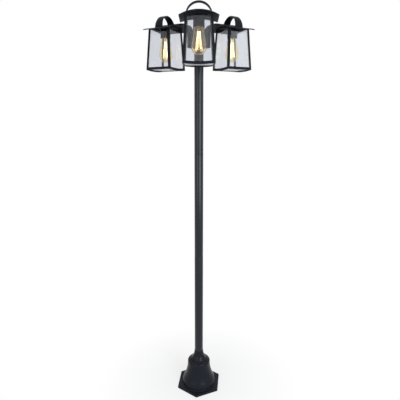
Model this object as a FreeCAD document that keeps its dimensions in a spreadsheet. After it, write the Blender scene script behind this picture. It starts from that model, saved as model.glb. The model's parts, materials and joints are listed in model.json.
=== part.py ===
"""Garden lamp post with three glazed lantern heads on one pole.

The pole stands on the +Z axis and the origin is the middle of the foot, on the ground.
Each head is drawn about its own vertical axis, with X across it and -Y pointing away from
the pole, and is then turned to its place round the pole. Sizes are millimetres and degrees.
"""

import FreeCAD, Part
import math
import os
import Sketcher

# Name, size and meaning of each driving dimension.
SIZES = (
    # Foot and bell
    ("foot_corner_radius", 124.0, "Hexagonal foot, centre to corner"),
    ("foot_thickness", 10.0, "Foot plate"),
    ("foot_bevel", 2.0, "Bevel round the top of the foot plate"),
    ("foot_turn", -6.2, "Turn of the first foot corner from straight ahead"),
    ("bell_foot_radius", 90.0, "Bell where it meets the foot plate"),
    ("bell_flare_radius", 70.0, "Rounded lower part of the bell's curve"),
    ("bell_waist_radius", 60.0, "Straight upper part of the bell"),
    ("bell_curve_rise", 122.0, "Height of the bell's curve above the foot plate"),
    ("bell_band", 4.0, "Straight band above the bell's curve"),
    ("bell_shoulder_run", 9.0, "Width of the rounded shoulder, seen from above"),
    ("bell_shoulder_rise", 8.0, "Height of the rounded shoulder"),
    ("bell_shoulder_bend", 10.0, "Radius of the rounded shoulder"),
    ("bell_wall", 4.0, "Wall of the casting"),
    ("crown_rise", 5.5, "Rise of the bell's sloping top above its shoulder"),
    ("collar_seat_depth", 4.0, "Collar's seat, below the edge of the sloping top"),
    ("collar_seat_gap", 1.5, "Groove round the collar in its seat"),
    # Collar at the foot of the pole
    ("collar_radius", 43.0, "Collar at its seat"),
    ("collar_rim_height", 5.0, "Upright rim of the collar"),
    ("collar_neck_wall", 1.4, "Wall of the collar at its upper end"),
    ("collar_height", 52.5, "Collar above its seat"),
    ("lock_screw_radius", 2.5, "Grub screws of the collar"),
    ("lock_screw_rise", 26.5, "Grub screws above the collar's seat"),
    ("lock_screw_length", 8.0, "Grub screws"),
    # Anchor plate
    ("anchor_gap", 6.0, "Anchor plate to the inside of the bell"),
    ("anchor_thickness", 6.0, "Anchor plate"),
    ("anchor_circle_radius", 60.0, "Centre to the anchor bolt holes"),
    ("anchor_hole_radius", 5.5, "Anchor bolt holes"),
    ("anchor_hole_count", 4.0, "Anchor bolt holes"),
    ("spigot_length", 90.0, "Spigot above the anchor plate"),
    ("spigot_wall", 3.0, "Wall of the spigot"),
    # Pole
    ("pole_radius", 22.1, "Pole tubes"),
    ("pole_wall", 2.0, "Pole tubes"),
    ("pole_end_bevel", 0.8, "Bevel at the tube ends, which shows as a joint line"),
    ("pole_lower_length", 732.0, "Lower tube, which stands on the anchor plate"),
    ("pole_middle_length", 538.0, "Middle tube"),
    ("pole_upper_length", 550.0, "Upper tube"),
    ("coupler_length", 90.0, "Sleeves inside the tube joints"),
    ("coupler_wall", 2.5, "Sleeves inside the tube joints"),
    ("slip_fit", 0.1, "Radial clearance of tubes and sleeves"),
    # Hub on the pole
    ("hub_wall", 5.8, "Hub sleeve round the pole"),
    ("hub_socket_depth", 54.0, "Stretch of the pole inside the hub"),
    ("hub_roof", 12.0, "Hub above the end of the pole"),
    ("hub_wire_radius", 10.0, "Wiring hole through the top of the hub"),
    ("boss_width", 36.0, "Flat boss for an arm"),
    ("boss_drop", 3.0, "Top of the hub to the upper edge of a boss"),
    ("boss_height", 50.0, "Flat boss, upright"),
    ("boss_reach", 44.7, "Pole axis to the face of a boss"),
    ("cap_rise", 9.0, "Height of the domed hub cap"),
    ("cap_skirt", 3.0, "Upright edge of the hub cap"),
    # Arms
    ("arm_width", 52.0, "Flat strap arm"),
    ("arm_thickness", 4.0, "Flat strap arm"),
    ("arm_bend_radius", 37.0, "Bend of the arm, outer face"),
    ("arm_rise", 54.0, "Upper edge of the boss to the underside of the arm"),
    ("arm_overhang", 5.0, "Arm's leg below the boss"),
    ("arm_flat_gap", 13.3, "Edge of the roof to the start of the arm's bend"),
    ("arm_end", 26.0, "Lantern axis to the outer end of the arm"),
    ("arm_end_corner", 8.0, "Rounded corners of the arm's outer end"),
    ("arm_screw_radius", 3.0, "Arm screws"),
    ("arm_screw_length", 14.0, "Arm screws, under the head"),
    ("arm_screw_head_radius", 5.5, "Arm screw heads"),
    ("arm_screw_head_height", 3.3, "Arm screw heads"),
    ("arm_screw_margin", 12.0, "Edges of the boss to the arm screws"),
    ("wire_hole_radius", 4.5, "Wiring hole in each boss and arm, and in the pole behind it"),
    # Lantern frame
    ("frame_half_bottom", 69.5, "Half width of the frame at its lower edge"),
    ("frame_half_top", 59.0, "Half width of the frame at the post tops"),
    ("frame_height", 183.0, "Between the heights of the two half widths"),
    ("frame_top_drop", 2.0, "Eave of the roof to the height of the upper half width"),
    ("frame_wall", 3.5, "Metal of the frame"),
    ("frame_post_width", 10.0, "Corner posts, as seen from a side"),
    ("frame_rail_height", 12.0, "Bottom rails"),
    ("frame_rail_dip", 5.0, "Sag of the curved bottom rails"),
    ("frame_head_rail", 5.5, "Top rails under the roof"),
    ("frame_lip", 5.0, "Ledge that carries the bottom pane, width"),
    ("frame_lip_thickness", 2.0, "Ledge that carries the bottom pane"),
    # Glass
    ("glass_thickness", 3.0, "All panes"),
    ("glass_gap", 0.2, "Clearance round the panes"),
    # Roof
    ("roof_half_width", 83.0, "Roof, centre to a straight edge"),
    ("roof_half_depth", 75.0, "Roof, centre to a corner"),
    ("roof_bulge", 20.0, "Bow of the roof's curved edges, seen from above"),
    ("roof_rise", 17.0, "Straight edges to the middle of the roof, on its underside"),
    ("roof_thickness", 2.0, "Roof sheet"),
    # Loop handle
    ("loop_radius", 56.0, "Loop, outer face"),
    ("loop_thickness", 3.0, "Loop strip"),
    ("loop_straight", 2.5, "Upright part of the loop below its curve"),
    ("loop_width_foot", 45.0, "Loop strip at the roof"),
    ("loop_width_top", 32.0, "Loop strip at its top"),
    # Lampholder and its fixing
    ("holder_radius", 23.5, "Lampholder cup"),
    ("holder_wall", 1.5, "Lampholder cup"),
    ("holder_height", 47.0, "Lampholder cup"),
    ("holder_drop", 2.0, "Roof crown to the top of the cup"),
    ("holder_rim_width", 1.2, "Bead at the cup's lower end"),
    ("holder_rim_height", 5.0, "Bead at the cup's lower end"),
    ("holder_spacer_radius", 8.0, "Spacer between cup and roof"),
    ("insert_drop", 7.0, "Top of the cup to the top of the insulator"),
    ("insert_height", 29.0, "Insulator in the cup"),
    ("insert_gap", 0.3, "Insulator to cup"),
    ("socket_roof", 6.0, "Insulator above the screw socket"),
    ("socket_fit", 0.08, "Radial clearance of the bulb cap in its socket"),
    ("nipple_radius", 5.0, "Threaded tube through cup, roof and arm"),
    ("nipple_bore_radius", 3.5, "Threaded tube"),
    ("nipple_flange_radius", 8.5, "Flange inside the cup"),
    ("nipple_flange_thickness", 2.5, "Flange inside the cup"),
    ("nipple_fit", 0.1, "Radial clearance of the threaded tube"),
    ("nut_corner_radius", 9.8, "Nut on the threaded tube"),
    ("nut_thickness", 5.0, "Nut on the threaded tube"),
    ("nipple_end", 1.5, "Threaded tube beyond its nut"),
    # Bulb
    ("bulb_radius", 32.5, "Bulb at its widest"),
    ("bulb_taper", 82.0, "Neck of the bulb to the centre of its round end"),
    ("bulb_shoulder", 10.0, "Angle above level where the bulb's sides turn straight"),
    ("bulb_neck_radius", 19.0, "Bulb neck at the cup"),
    ("bulb_neck_turn", 8.0, "Bulb neck, from its widest to the screw cap"),
    ("bulb_wall", 0.8, "Bulb glass"),
    ("bulb_seat_gap", 3.0, "Insulator to the lower end of the screw cap"),
    ("bulb_cap_radius", 13.0, "Screw cap of the bulb"),
    ("bulb_cap_gap", 4.0, "Roof of the screw socket to the upper end of the cap"),
    ("bulb_cap_bevel", 2.0, "Bevel round the upper end of the cap"),
    ("bulb_contact_radius", 4.5, "Contact on top of the cap"),
    ("bulb_contact_height", 3.0, "Contact on top of the cap"),
    ("bulb_contact_flare", 2.0, "Spread of the contact at its foot"),
    ("stem_radius", 1.5, "Glass rod that carries the filament"),
    ("stem_foot_radius", 6.0, "Foot of the glass rod, in the neck"),
    ("stem_foot_height", 24.0, "Foot of the glass rod"),
    ("filament_drop", 34.0, "Screw cap to the upper spreader of the filament"),
    ("filament_length", 60.0, "Between the two spreaders"),
    ("filament_circle_radius", 7.0, "Centre to the filament wires"),
    ("filament_wire_radius", 0.6, "Filament wires"),
    ("filament_wire_count", 6.0, "Filament wires"),
    ("spreader_edge", 0.9, "Spreader outside the wires"),
    ("spreader_thickness", 1.2, "Spreaders that hold the wires"),
)

# The lantern heads, evenly spaced round the pole from the front one.
HEADS = ("front", "right", "left")
HEAD_COUNT = len(HEADS)
FOOT_CORNERS = 6
# Extra length of a cutting shape beyond what it cuts.
CLEAR = 20.0

doc = FreeCAD.newDocument("TripleHeadLampPost")
sheet = doc.addObject("Spreadsheet::Sheet", "Dims")


class Length:
    """A size that knows its value now and the sheet expression that keeps it up to date."""

    def __init__(self, value, text):
        self.value = value
        self.text = text

    def __add__(self, other):
        other = as_length(other)
        return Length(self.value + other.value, f"({self.text} + {other.text})")

    def __sub__(self, other):
        other = as_length(other)
        return Length(self.value - other.value, f"({self.text} - {other.text})")

    def __mul__(self, other):
        other = as_length(other)
        return Length(self.value * other.value, f"({self.text} * {other.text})")

    def __truediv__(self, other):
        other = as_length(other)
        return Length(self.value / other.value, f"({self.text} / {other.text})")

    def __neg__(self):
        return Length(-self.value, f"(0 - {self.text})")

    def __radd__(self, other):
        return as_length(other) + self

    def __rsub__(self, other):
        return as_length(other) - self

    def __rmul__(self, other):
        return as_length(other) * self


def as_length(number):
    """A plain number as a Length; a Length is returned as it is."""
    if isinstance(number, Length):
        return number
    return Length(float(number), f"({number})")


def root(length):
    """Square root."""
    return Length(math.sqrt(length.value), f"sqrt({length.text})")


def cosine(angle):
    """Cosine of an angle in degrees."""
    angle = as_length(angle)
    return Length(math.cos(math.radians(angle.value)), f"cos({angle.text})")


def sine(angle):
    """Sine of an angle in degrees."""
    angle = as_length(angle)
    return Length(math.sin(math.radians(angle.value)), f"sin({angle.text})")


def size(name):
    """A driving dimension from the sheet."""
    return Length(float(sheet.get(name)), f"Dims.{name}")


def fill_sheet():
    """Write the driving dimensions into the sheet, each with its alias."""
    for row, (alias, value, meaning) in enumerate(SIZES, start=1):
        sheet.set(f"A{row}", meaning)
        sheet.set(f"B{row}", str(value))
        sheet.setAlias(f"B{row}", alias)
    doc.recompute()


# Heights, each worked out from the piece below or above that carries it


def bell_waist_height():
    """Height where the bell's curve ends."""
    return size("foot_thickness") + size("bell_curve_rise")


def bell_shoulder_height():
    """Height where the bell's rounded shoulder starts."""
    return bell_waist_height() + size("bell_band")


def crown_height():
    """Height of the inner edge of the bell's sloping top."""
    return bell_shoulder_height() + size("bell_shoulder_rise") + size("crown_rise")


def collar_seat_height():
    """Height of the collar's flat seat in the top of the bell."""
    return crown_height() - size("collar_seat_depth")


def lock_screw_height():
    """Height of the grub screws in the collar."""
    return collar_seat_height() + size("lock_screw_rise")


def pole_heights():
    """Heights of the two tube joints and of the pole's upper end."""
    lower_joint = size("anchor_thickness") + size("pole_lower_length")
    upper_joint = lower_joint + size("pole_middle_length")
    return lower_joint, upper_joint, upper_joint + size("pole_upper_length")


def hub_top():
    """Upper end of the hub, where its cap sits."""
    return pole_heights()[2] + size("hub_roof")


def boss_heights():
    """Heights of the lower and the upper edge of the flat bosses."""
    upper = hub_top() - size("boss_drop")
    return upper - size("boss_height"), upper


def arm_screw_heights():
    """Heights of the two screws of each arm."""
    lower, upper = boss_heights()
    return lower + size("arm_screw_margin"), upper - size("arm_screw_margin")


def wire_hole_height():
    """Height of the wiring hole, midway between the arm's screws."""
    low, high = arm_screw_heights()
    return (low + high) / 2


def arm_seat_height():
    """Underside of the flat part of the arms, which is the top of the roofs."""
    return boss_heights()[1] + size("arm_rise")


def roof_crown():
    """Underside of a roof at its middle."""
    return arm_seat_height() - size("roof_thickness")


def roof_eave():
    """Underside of a roof at its straight edges."""
    return roof_crown() - size("roof_rise")


def frame_top():
    """Height where the frame's upper half width is measured."""
    return roof_eave() - size("frame_top_drop")


def frame_bottom():
    """Lower edge of the frame at its corners."""
    return frame_top() - size("frame_height")


def holder_top():
    """Top of the lampholder cup."""
    return roof_crown() - size("holder_drop")


def insert_heights():
    """Heights of the lower and the upper end of the insulator in the cup."""
    upper = holder_top() - size("insert_drop")
    return upper - size("insert_height"), upper


def socket_top():
    """Roof of the screw socket in the insulator."""
    return insert_heights()[1] - size("socket_roof")


def bulb_seat_height():
    """Top of the bulb glass, where the screw cap starts."""
    return insert_heights()[0] - size("bulb_seat_gap")


def head_radius():
    """Pole axis to a lantern's axis: the roof clears the bend of its arm."""
    bend_start = size("boss_reach") + size("arm_bend_radius") + size("arm_flat_gap")
    return bend_start + size("roof_bulge") + size("roof_half_depth")


# Sketches and features


def new_body(label, head=None):
    """An empty body; one that belongs to a head is turned to its place round the pole."""
    body = doc.addObject("PartDesign::Body", label)
    body.Label = label
    if head is not None:
        turn = 360.0 * HEADS.index(head) / HEAD_COUNT
        body.Placement.Rotation = FreeCAD.Rotation(FreeCAD.Vector(0, 0, 1), turn)
        body.setExpression("Placement.Base.x", (head_radius() * sine(turn)).text)
        body.setExpression("Placement.Base.y", (-head_radius() * cosine(turn)).text)
    return body


def origin_part(body, role):
    """A plane or axis of the body's own origin."""
    return next(item for item in body.Origin.OriginFeatures if item.Role == role)


def new_sketch(body, name, plane, lift=None):
    """A sketch on one of the body's planes, moved along the plane's normal by lift."""
    sketch = body.newObject("Sketcher::SketchObject", name)
    sketch.AttachmentSupport = [(origin_part(body, plane), "")]
    sketch.MapMode = "FlatFace"
    if lift is not None:
        sketch.setExpression("AttachmentOffset.Base.z", as_length(lift).text)
    return sketch


def at(x, y, turn=None, radius=None):
    """An outline's corner. With a turn, left or right, the edge that follows is an arc."""
    return {"x": as_length(x), "y": as_length(y), "turn": turn, "radius": radius}


def arc_between(start, end, radius, turn):
    """The short arc from start to end that turns left or right."""
    chord = end - start
    middle = (start + end) * 0.5
    rise = math.sqrt(max(radius * radius - chord.Length * chord.Length / 4, 0.0))
    side = FreeCAD.Vector(-chord.y, chord.x, 0).normalize()
    if turn == "right":
        side = side * -1
        start, end = end, start
    centre = middle + side * rise
    first = math.atan2(start.y - centre.y, start.x - centre.x)
    last = math.atan2(end.y - centre.y, end.x - centre.x)
    circle = Part.Circle(centre, FreeCAD.Vector(0, 0, 1), radius)
    return Part.ArcOfCircle(circle, first, last)


def bind(sketch, kind, geometry, point, length):
    """Fix a point's distance from the sketch origin along X or Y to a length."""
    if length.text == "(0)":
        axis = -2 if kind == "DistanceX" else -1
        sketch.addConstraint(Sketcher.Constraint("PointOnObject", geometry, point, axis))
        return
    constraint = Sketcher.Constraint(kind, -1, 1, geometry, point, length.value)
    index = sketch.addConstraint(constraint)
    sketch.setExpression(f"Constraints[{index}]", length.text)


def bind_radius(sketch, geometry, radius):
    """Fix the radius of a circle or an arc to a length."""
    index = sketch.addConstraint(Sketcher.Constraint("Radius", geometry, radius.value))
    sketch.setExpression(f"Constraints[{index}]", radius.text)


def add_outline(sketch, corners):
    """A closed outline of lines and arcs through the corners, all bound to the sheet."""
    points = [FreeCAD.Vector(corner["x"].value, corner["y"].value, 0) for corner in corners]
    edges = []
    for index, corner in enumerate(corners):
        start = points[index]
        end = points[(index + 1) % len(points)]
        if corner["turn"] is None:
            number = sketch.addGeometry(Part.LineSegment(start, end))
        else:
            arc = arc_between(start, end, corner["radius"].value, corner["turn"])
            number = sketch.addGeometry(arc)
        first, last = (2, 1) if corner["turn"] == "right" else (1, 2)
        edges.append((number, first, last))
    for index, corner in enumerate(corners):
        number, first, last = edges[index]
        before = edges[index - 1]
        sketch.addConstraint(Sketcher.Constraint("Coincident", before[0], before[2], number, first))
        bind(sketch, "DistanceX", number, first, corner["x"])
        bind(sketch, "DistanceY", number, first, corner["y"])
        if corner["turn"] is not None:
            bind_radius(sketch, number, corner["radius"])


def add_circle(sketch, x, y, radius):
    """A circle whose centre and radius are bound to the sheet."""
    x = as_length(x)
    y = as_length(y)
    centre = FreeCAD.Vector(x.value, y.value, 0)
    circle = Part.Circle(centre, FreeCAD.Vector(0, 0, 1), radius.value)
    number = sketch.addGeometry(circle)
    bind(sketch, "DistanceX", number, 3, x)
    bind(sketch, "DistanceY", number, 3, y)
    bind_radius(sketch, number, radius)


def add_rectangle(sketch, half_width, half_height):
    """A rectangle about the sketch origin."""
    add_outline(sketch, [
        at(-half_width, -half_height),
        at(half_width, -half_height),
        at(half_width, half_height),
        at(-half_width, half_height),
    ])


def add_band(sketch, left, right, low, high):
    """An upright rectangle between two sides and two heights."""
    add_outline(sketch, [at(left, low), at(right, low), at(right, high), at(left, high)])


def pad(body, name, sketch, length, symmetric=False):
    """Extrude a sketch along its normal, or half of the length to each side."""
    feature = body.newObject("PartDesign::Pad", name)
    feature.Profile = sketch
    feature.SideType = "Symmetric" if symmetric else "One side"
    feature.setExpression("Length", as_length(length).text)
    return feature


def cut_through(body, name, sketch):
    """Cut a sketch through the whole body, both ways."""
    feature = body.newObject("PartDesign::Pocket", name)
    feature.Profile = sketch
    feature.SideType = "Symmetric"
    feature.Type = "ThroughAll"
    return feature


def cut_to(body, name, sketch, depth, along_normal=False):
    """Cut a sketch to a depth against its normal, or along it."""
    feature = body.newObject("PartDesign::Pocket", name)
    feature.Profile = sketch
    feature.Reversed = along_normal
    feature.setExpression("Length", as_length(depth).text)
    return feature


def revolve(body, name, sketch):
    """Turn a sketch a full turn about its vertical axis."""
    feature = body.newObject("PartDesign::Revolution", name)
    feature.Profile = sketch
    feature.ReferenceAxis = (sketch, ["V_Axis"])
    feature.Angle = 360
    return feature


def loft(body, name, kind, sketches):
    """Additive or subtractive loft through the sketches."""
    feature = body.newObject(f"PartDesign::{kind}Loft", name)
    feature.Profile = sketches[0]
    feature.Sections = sketches[1:]
    feature.Ruled = True
    return feature


def polar(body, name, features, count):
    """Repeat features round the body's vertical axis."""
    pattern = body.newObject("PartDesign::PolarPattern", name)
    pattern.Originals = features
    pattern.Axis = (origin_part(body, "Z_Axis"), [""])
    pattern.Angle = 360
    pattern.setExpression("Occurrences", as_length(count).text)
    body.Tip = pattern
    return pattern


def tube(label, outer, inner, low, high):
    """An upright tube on the pole axis."""
    body = new_body(label)
    sketch = new_sketch(body, f"{label}_ring", "XY_Plane", low)
    add_circle(sketch, 0, 0, outer)
    add_circle(sketch, 0, 0, inner)
    pad(body, f"{label}_pad", sketch, high - low)
    return body


def hexagon(x, y, corner_radius, turn):
    """Corners of a regular hexagon, its first corner turned from -Y."""
    corners = []
    for index in range(FOOT_CORNERS):
        angle = turn + (360.0 * index / FOOT_CORNERS - 90.0)
        corners.append(at(x + corner_radius * cosine(angle), y + corner_radius * sine(angle)))
    return corners


# Foot and pole


def bore_radius():
    """Bore of the pieces that slip over the pole."""
    return size("pole_radius") + size("slip_fit")


def bell_curve(offset):
    """The bell's S curve, inset by offset: foot, turning point and the upper radius.

    A rounded flare and a hollow curve meet on the line between their centres. Both are
    upright where they end, so the sum of their radii follows from the width and height.
    """
    across = size("bell_foot_radius") - size("bell_waist_radius")
    up = size("bell_curve_rise")
    both = (across * across + up * up) / (2 * across)
    flare = size("bell_flare_radius")
    hollow = both - flare
    share = (flare - offset) / both
    centre_x = size("bell_foot_radius") - flare
    turn_x = centre_x + share * (both - across)
    turn_y = size("foot_thickness") + share * up
    return turn_x, turn_y, flare - offset, hollow + offset


def make_base_casting():
    """Hexagonal foot plate and hollow bell, cast in one piece."""
    body = new_body("base_casting")
    wall = size("bell_wall")
    foot = new_sketch(body, "foot_outline", "XY_Plane")
    add_outline(foot, hexagon(0, 0, size("foot_corner_radius"), size("foot_turn")))
    add_circle(foot, 0, 0, size("bell_foot_radius") - wall)
    plate = pad(body, "foot_plate", foot, size("foot_thickness"))
    doc.recompute()
    bevel = body.newObject("PartDesign::Chamfer", "foot_bevel_cut")
    bevel.Base = (plate, outer_top_edges(plate.Shape, size("foot_thickness").value))
    bevel.setExpression("Size", size("foot_bevel").text)

    outer_x, outer_y, outer_flare, outer_hollow = bell_curve(as_length(0))
    inner_x, inner_y, inner_flare, inner_hollow = bell_curve(wall)
    foot_radius = size("bell_foot_radius")
    waist = size("bell_waist_radius")
    waist_height = bell_waist_height()
    shoulder = bell_shoulder_height()
    seat = collar_seat_height()
    crown = size("collar_radius") + size("collar_seat_gap")
    bore = bore_radius()
    step_x = waist - size("bell_shoulder_run")
    step_y = shoulder + size("bell_shoulder_rise")
    bend = size("bell_shoulder_bend")
    section = new_sketch(body, "bell_section", "XZ_Plane")
    add_outline(section, [
        at(foot_radius - wall, 0),
        at(foot_radius, 0),
        at(foot_radius, size("foot_thickness"), "left", outer_flare),
        at(outer_x, outer_y, "right", outer_hollow),
        at(waist, waist_height),
        at(waist, shoulder, "left", bend),
        at(step_x, step_y),
        at(crown, crown_height()),
        at(crown, seat),
        at(bore, seat),
        at(bore, seat - wall),
        at(step_x, seat - wall, "right", bend),
        at(waist - wall, shoulder),
        at(waist - wall, waist_height, "left", inner_hollow),
        at(inner_x, inner_y, "right", inner_flare),
        at(foot_radius - wall, size("foot_thickness")),
    ])
    revolve(body, "bell", section)


def outer_top_edges(shape, height):
    """Names of the straight edges that lie at a height."""
    names = []
    for number, edge in enumerate(shape.Edges, start=1):
        straight = isinstance(edge.Curve, Part.Line)
        level = all(abs(vertex.Point.z - height) < 1e-6 for vertex in edge.Vertexes)
        if straight and level:
            names.append(f"Edge{number}")
    return names


def make_base_collar():
    """Flared collar that closes the bell round the foot of the pole."""
    body = new_body("base_collar")
    seat = collar_seat_height()
    rim = seat + size("collar_rim_height")
    top = seat + size("collar_height")
    bore = bore_radius()
    neck = bore + size("collar_neck_wall")
    across = size("collar_radius") - neck
    up = top - rim
    flare = (across * across + up * up) / (2 * across)
    section = new_sketch(body, "collar_section", "XZ_Plane")
    add_outline(section, [
        at(bore, seat),
        at(size("collar_radius"), seat),
        at(size("collar_radius"), rim, "right", flare),
        at(neck, top),
        at(bore, top),
    ])
    revolve(body, "collar", section)
    hole = new_sketch(body, "screw_hole", "XZ_Plane")
    add_circle(hole, 0, lock_screw_height(), size("lock_screw_radius"))
    cut = cut_to(body, "screw_hole_cut", hole, size("collar_radius"), along_normal=True)
    polar(body, "screw_holes", [cut], HEAD_COUNT)


def make_base_lock_screws():
    """Grub screws that lock the collar to the pole."""
    body = new_body("base_lock_screws")
    start = size("pole_radius")
    sketch = new_sketch(body, "screw_end", "XZ_Plane", start)
    add_circle(sketch, 0, lock_screw_height(), size("lock_screw_radius"))
    screw = pad(body, "screw", sketch, size("lock_screw_length"))
    polar(body, "screws", [screw], HEAD_COUNT)


def spigot_radius():
    """What slides into the pole tubes."""
    return size("pole_radius") - size("pole_wall") - size("slip_fit")


def make_anchor_plate():
    """Round plate with a spigot for the pole, bolted to the ground under the bell."""
    body = new_body("anchor_plate")
    outer = spigot_radius()
    inner = outer - size("spigot_wall")
    radius = size("bell_foot_radius") - size("bell_wall") - size("anchor_gap")
    face = size("anchor_thickness")
    end = face + size("spigot_length")
    section = new_sketch(body, "anchor_section", "XZ_Plane")
    add_outline(section, [
        at(inner, 0),
        at(radius, 0),
        at(radius, face),
        at(outer, face),
        at(outer, end),
        at(inner, end),
    ])
    revolve(body, "plate_and_spigot", section)
    hole = new_sketch(body, "anchor_hole", "XY_Plane")
    add_circle(hole, size("anchor_circle_radius"), 0, size("anchor_hole_radius"))
    cut = cut_through(body, "anchor_hole_cut", hole)
    polar(body, "anchor_holes", [cut], size("anchor_hole_count"))


def make_pole():
    """Three tubes end to end, with a sleeve inside each joint and wiring holes at the top."""
    outer = size("pole_radius")
    inner = outer - size("pole_wall")
    lower_joint, upper_joint, top = pole_heights()
    spans = (
        ("pole_lower", size("anchor_thickness"), lower_joint),
        ("pole_middle", lower_joint, upper_joint),
        ("pole_upper", upper_joint, top),
    )
    for label, low, high in spans:
        body = tube(label, outer, inner, low, high)
        doc.recompute()
        ring = body.Tip
        bevel = body.newObject("PartDesign::Chamfer", f"{label}_bevel")
        bevel.Base = (ring, rim_edges(ring.Shape, outer.value))
        bevel.setExpression("Size", size("pole_end_bevel").text)
    hole = new_sketch(body, "wire_hole", "XZ_Plane")
    add_circle(hole, 0, wire_hole_height(), size("wire_hole_radius"))
    cut = cut_to(body, "wire_hole_cut", hole, 2 * outer, along_normal=True)
    polar(body, "wire_holes", [cut], HEAD_COUNT)
    half = size("coupler_length") / 2
    sleeve = spigot_radius()
    for label, joint in (("coupler_lower", lower_joint), ("coupler_upper", upper_joint)):
        tube(label, sleeve, sleeve - size("coupler_wall"), joint - half, joint + half)


def rim_edges(shape, radius):
    """Names of the level round edges that have a radius."""
    names = []
    for number, edge in enumerate(shape.Edges, start=1):
        if isinstance(edge.Curve, Part.Circle) and abs(edge.Curve.Radius - radius) < 1e-6:
            names.append(f"Edge{number}")
    return names


# Hub and arms


def hub_radius():
    """Outside of the hub sleeve."""
    return bore_radius() + size("hub_wall")


def make_head_hub():
    """Sleeve on the pole top with a flat boss for each arm."""
    body = new_body("head_hub")
    pole_end = pole_heights()[2]
    bottom = pole_end - size("hub_socket_depth")
    top = hub_top()
    reach = size("boss_reach")
    outline = new_sketch(body, "hub_outline", "XY_Plane", bottom)
    add_circle(outline, 0, 0, hub_radius())
    pad(body, "hub_cylinder", outline, top - bottom)
    face = new_sketch(body, "boss_face", "XZ_Plane")
    half = size("boss_width") / 2
    add_band(face, -half, half, *boss_heights())
    boss = pad(body, "boss", face, reach)
    holes = new_sketch(body, "boss_holes", "XZ_Plane", reach)
    for height in arm_screw_heights():
        add_circle(holes, 0, height, size("arm_screw_radius"))
    depth = size("arm_screw_length") - size("arm_thickness")
    screw_holes = cut_to(body, "boss_screw_holes", holes, depth)
    wire = new_sketch(body, "boss_wire_hole", "XZ_Plane", reach)
    add_circle(wire, 0, wire_hole_height(), size("wire_hole_radius"))
    wire_cut = cut_to(body, "boss_wire_hole_cut", wire, reach - size("pole_radius") / 2)
    polar(body, "bosses", [boss, screw_holes, wire_cut], HEAD_COUNT)
    socket = new_sketch(body, "pole_socket", "XY_Plane", bottom)
    add_circle(socket, 0, 0, bore_radius())
    cut_to(body, "pole_socket_cut", socket, pole_end - bottom, along_normal=True)
    passage = new_sketch(body, "wire_passage", "XY_Plane", top)
    add_circle(passage, 0, 0, size("hub_wire_radius"))
    cut_to(body, "wire_passage_cut", passage, top - bottom)


def make_hub_cap():
    """Low domed cap on the hub."""
    body = new_body("hub_cap")
    radius = hub_radius()
    seat = hub_top()
    rise = size("cap_rise") - size("cap_skirt")
    dome = (radius * radius + rise * rise) / (2 * rise)
    section = new_sketch(body, "cap_section", "XZ_Plane")
    add_outline(section, [
        at(0, seat),
        at(radius, seat),
        at(radius, seat + size("cap_skirt"), "left", dome),
        at(0, seat + size("cap_rise")),
    ])
    revolve(body, "cap", section)


def make_arm_screws():
    """Round headed screws that hold the arms to the hub, two to an arm."""
    body = new_body("arm_screws")
    face = size("boss_reach") + size("arm_thickness")
    heights = arm_screw_heights()
    shank = new_sketch(body, "shank_end", "XZ_Plane", face - size("arm_screw_length"))
    for height in heights:
        add_circle(shank, 0, height, size("arm_screw_radius"))
    shanks = pad(body, "shanks", shank, size("arm_screw_length"))
    head = new_sketch(body, "head_face", "XZ_Plane", face)
    for height in heights:
        add_circle(head, 0, height, size("arm_screw_head_radius"))
    heads = pad(body, "heads", head, size("arm_screw_head_height"))
    polar(body, "screws", [shanks, heads], HEAD_COUNT)


def make_strap_arm(head):
    """Flat strap over the roof that bends down to the hub."""
    body = new_body(f"strap_arm_{head}", head)
    under = arm_seat_height()
    over = under + size("arm_thickness")
    leg_in = head_radius() - size("boss_reach")
    leg_out = leg_in - size("arm_thickness")
    bend = size("arm_bend_radius")
    inner_bend = bend - size("arm_thickness")
    foot = boss_heights()[0] - size("arm_overhang")
    end = -size("arm_end")
    side = new_sketch(body, "arm_side", "YZ_Plane")
    add_outline(side, [
        at(end, under),
        at(leg_in - bend, under, "right", inner_bend),
        at(leg_out, over - bend),
        at(leg_out, foot),
        at(leg_in, foot),
        at(leg_in, over - bend, "left", bend),
        at(leg_in - bend, over),
        at(end, over),
    ])
    strap = pad(body, "strap", side, size("arm_width"), symmetric=True)
    doc.recompute()
    rounding = body.newObject("PartDesign::Fillet", "end_corners")
    rounding.Base = (strap, upright_edges_at(strap.Shape, end.value))
    rounding.setExpression("Radius", size("arm_end_corner").text)
    holes = new_sketch(body, "leg_holes", "XZ_Plane")
    for height in arm_screw_heights():
        add_circle(holes, 0, height, size("arm_screw_radius"))
    add_circle(holes, 0, wire_hole_height(), size("wire_hole_radius"))
    cut_through(body, "leg_holes_cut", holes)
    cut_nipple_hole(body)


def upright_edges_at(shape, depth):
    """Names of the upright edges that lie at a depth."""
    names = []
    for number, edge in enumerate(shape.Edges, start=1):
        first, last = edge.Vertexes[0].Point, edge.Vertexes[-1].Point
        upright = abs(first.x - last.x) < 1e-6 and abs(first.y - last.y) < 1e-6
        if upright and abs(first.y - depth) < 1e-6:
            names.append(f"Edge{number}")
    return names


def cut_nipple_hole(body):
    """Hole for the threaded tube, on the head's axis."""
    sketch = new_sketch(body, "nipple_hole", "XY_Plane")
    add_circle(sketch, 0, 0, size("nipple_radius") + size("nipple_fit"))
    cut_through(body, "nipple_hole_cut", sketch)


# Lantern


def vault_radius():
    """Radius of the roof's underside, from its width and rise."""
    half = size("roof_half_width")
    rise = size("roof_rise")
    return (half * half + rise * rise) / (2 * rise)


def vault_height(across, drop=0.0):
    """Height of an arc that lies by drop under the roof's underside."""
    radius = vault_radius()
    inner = radius - drop
    return roof_crown() - radius + root(inner * inner - across * across)


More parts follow.
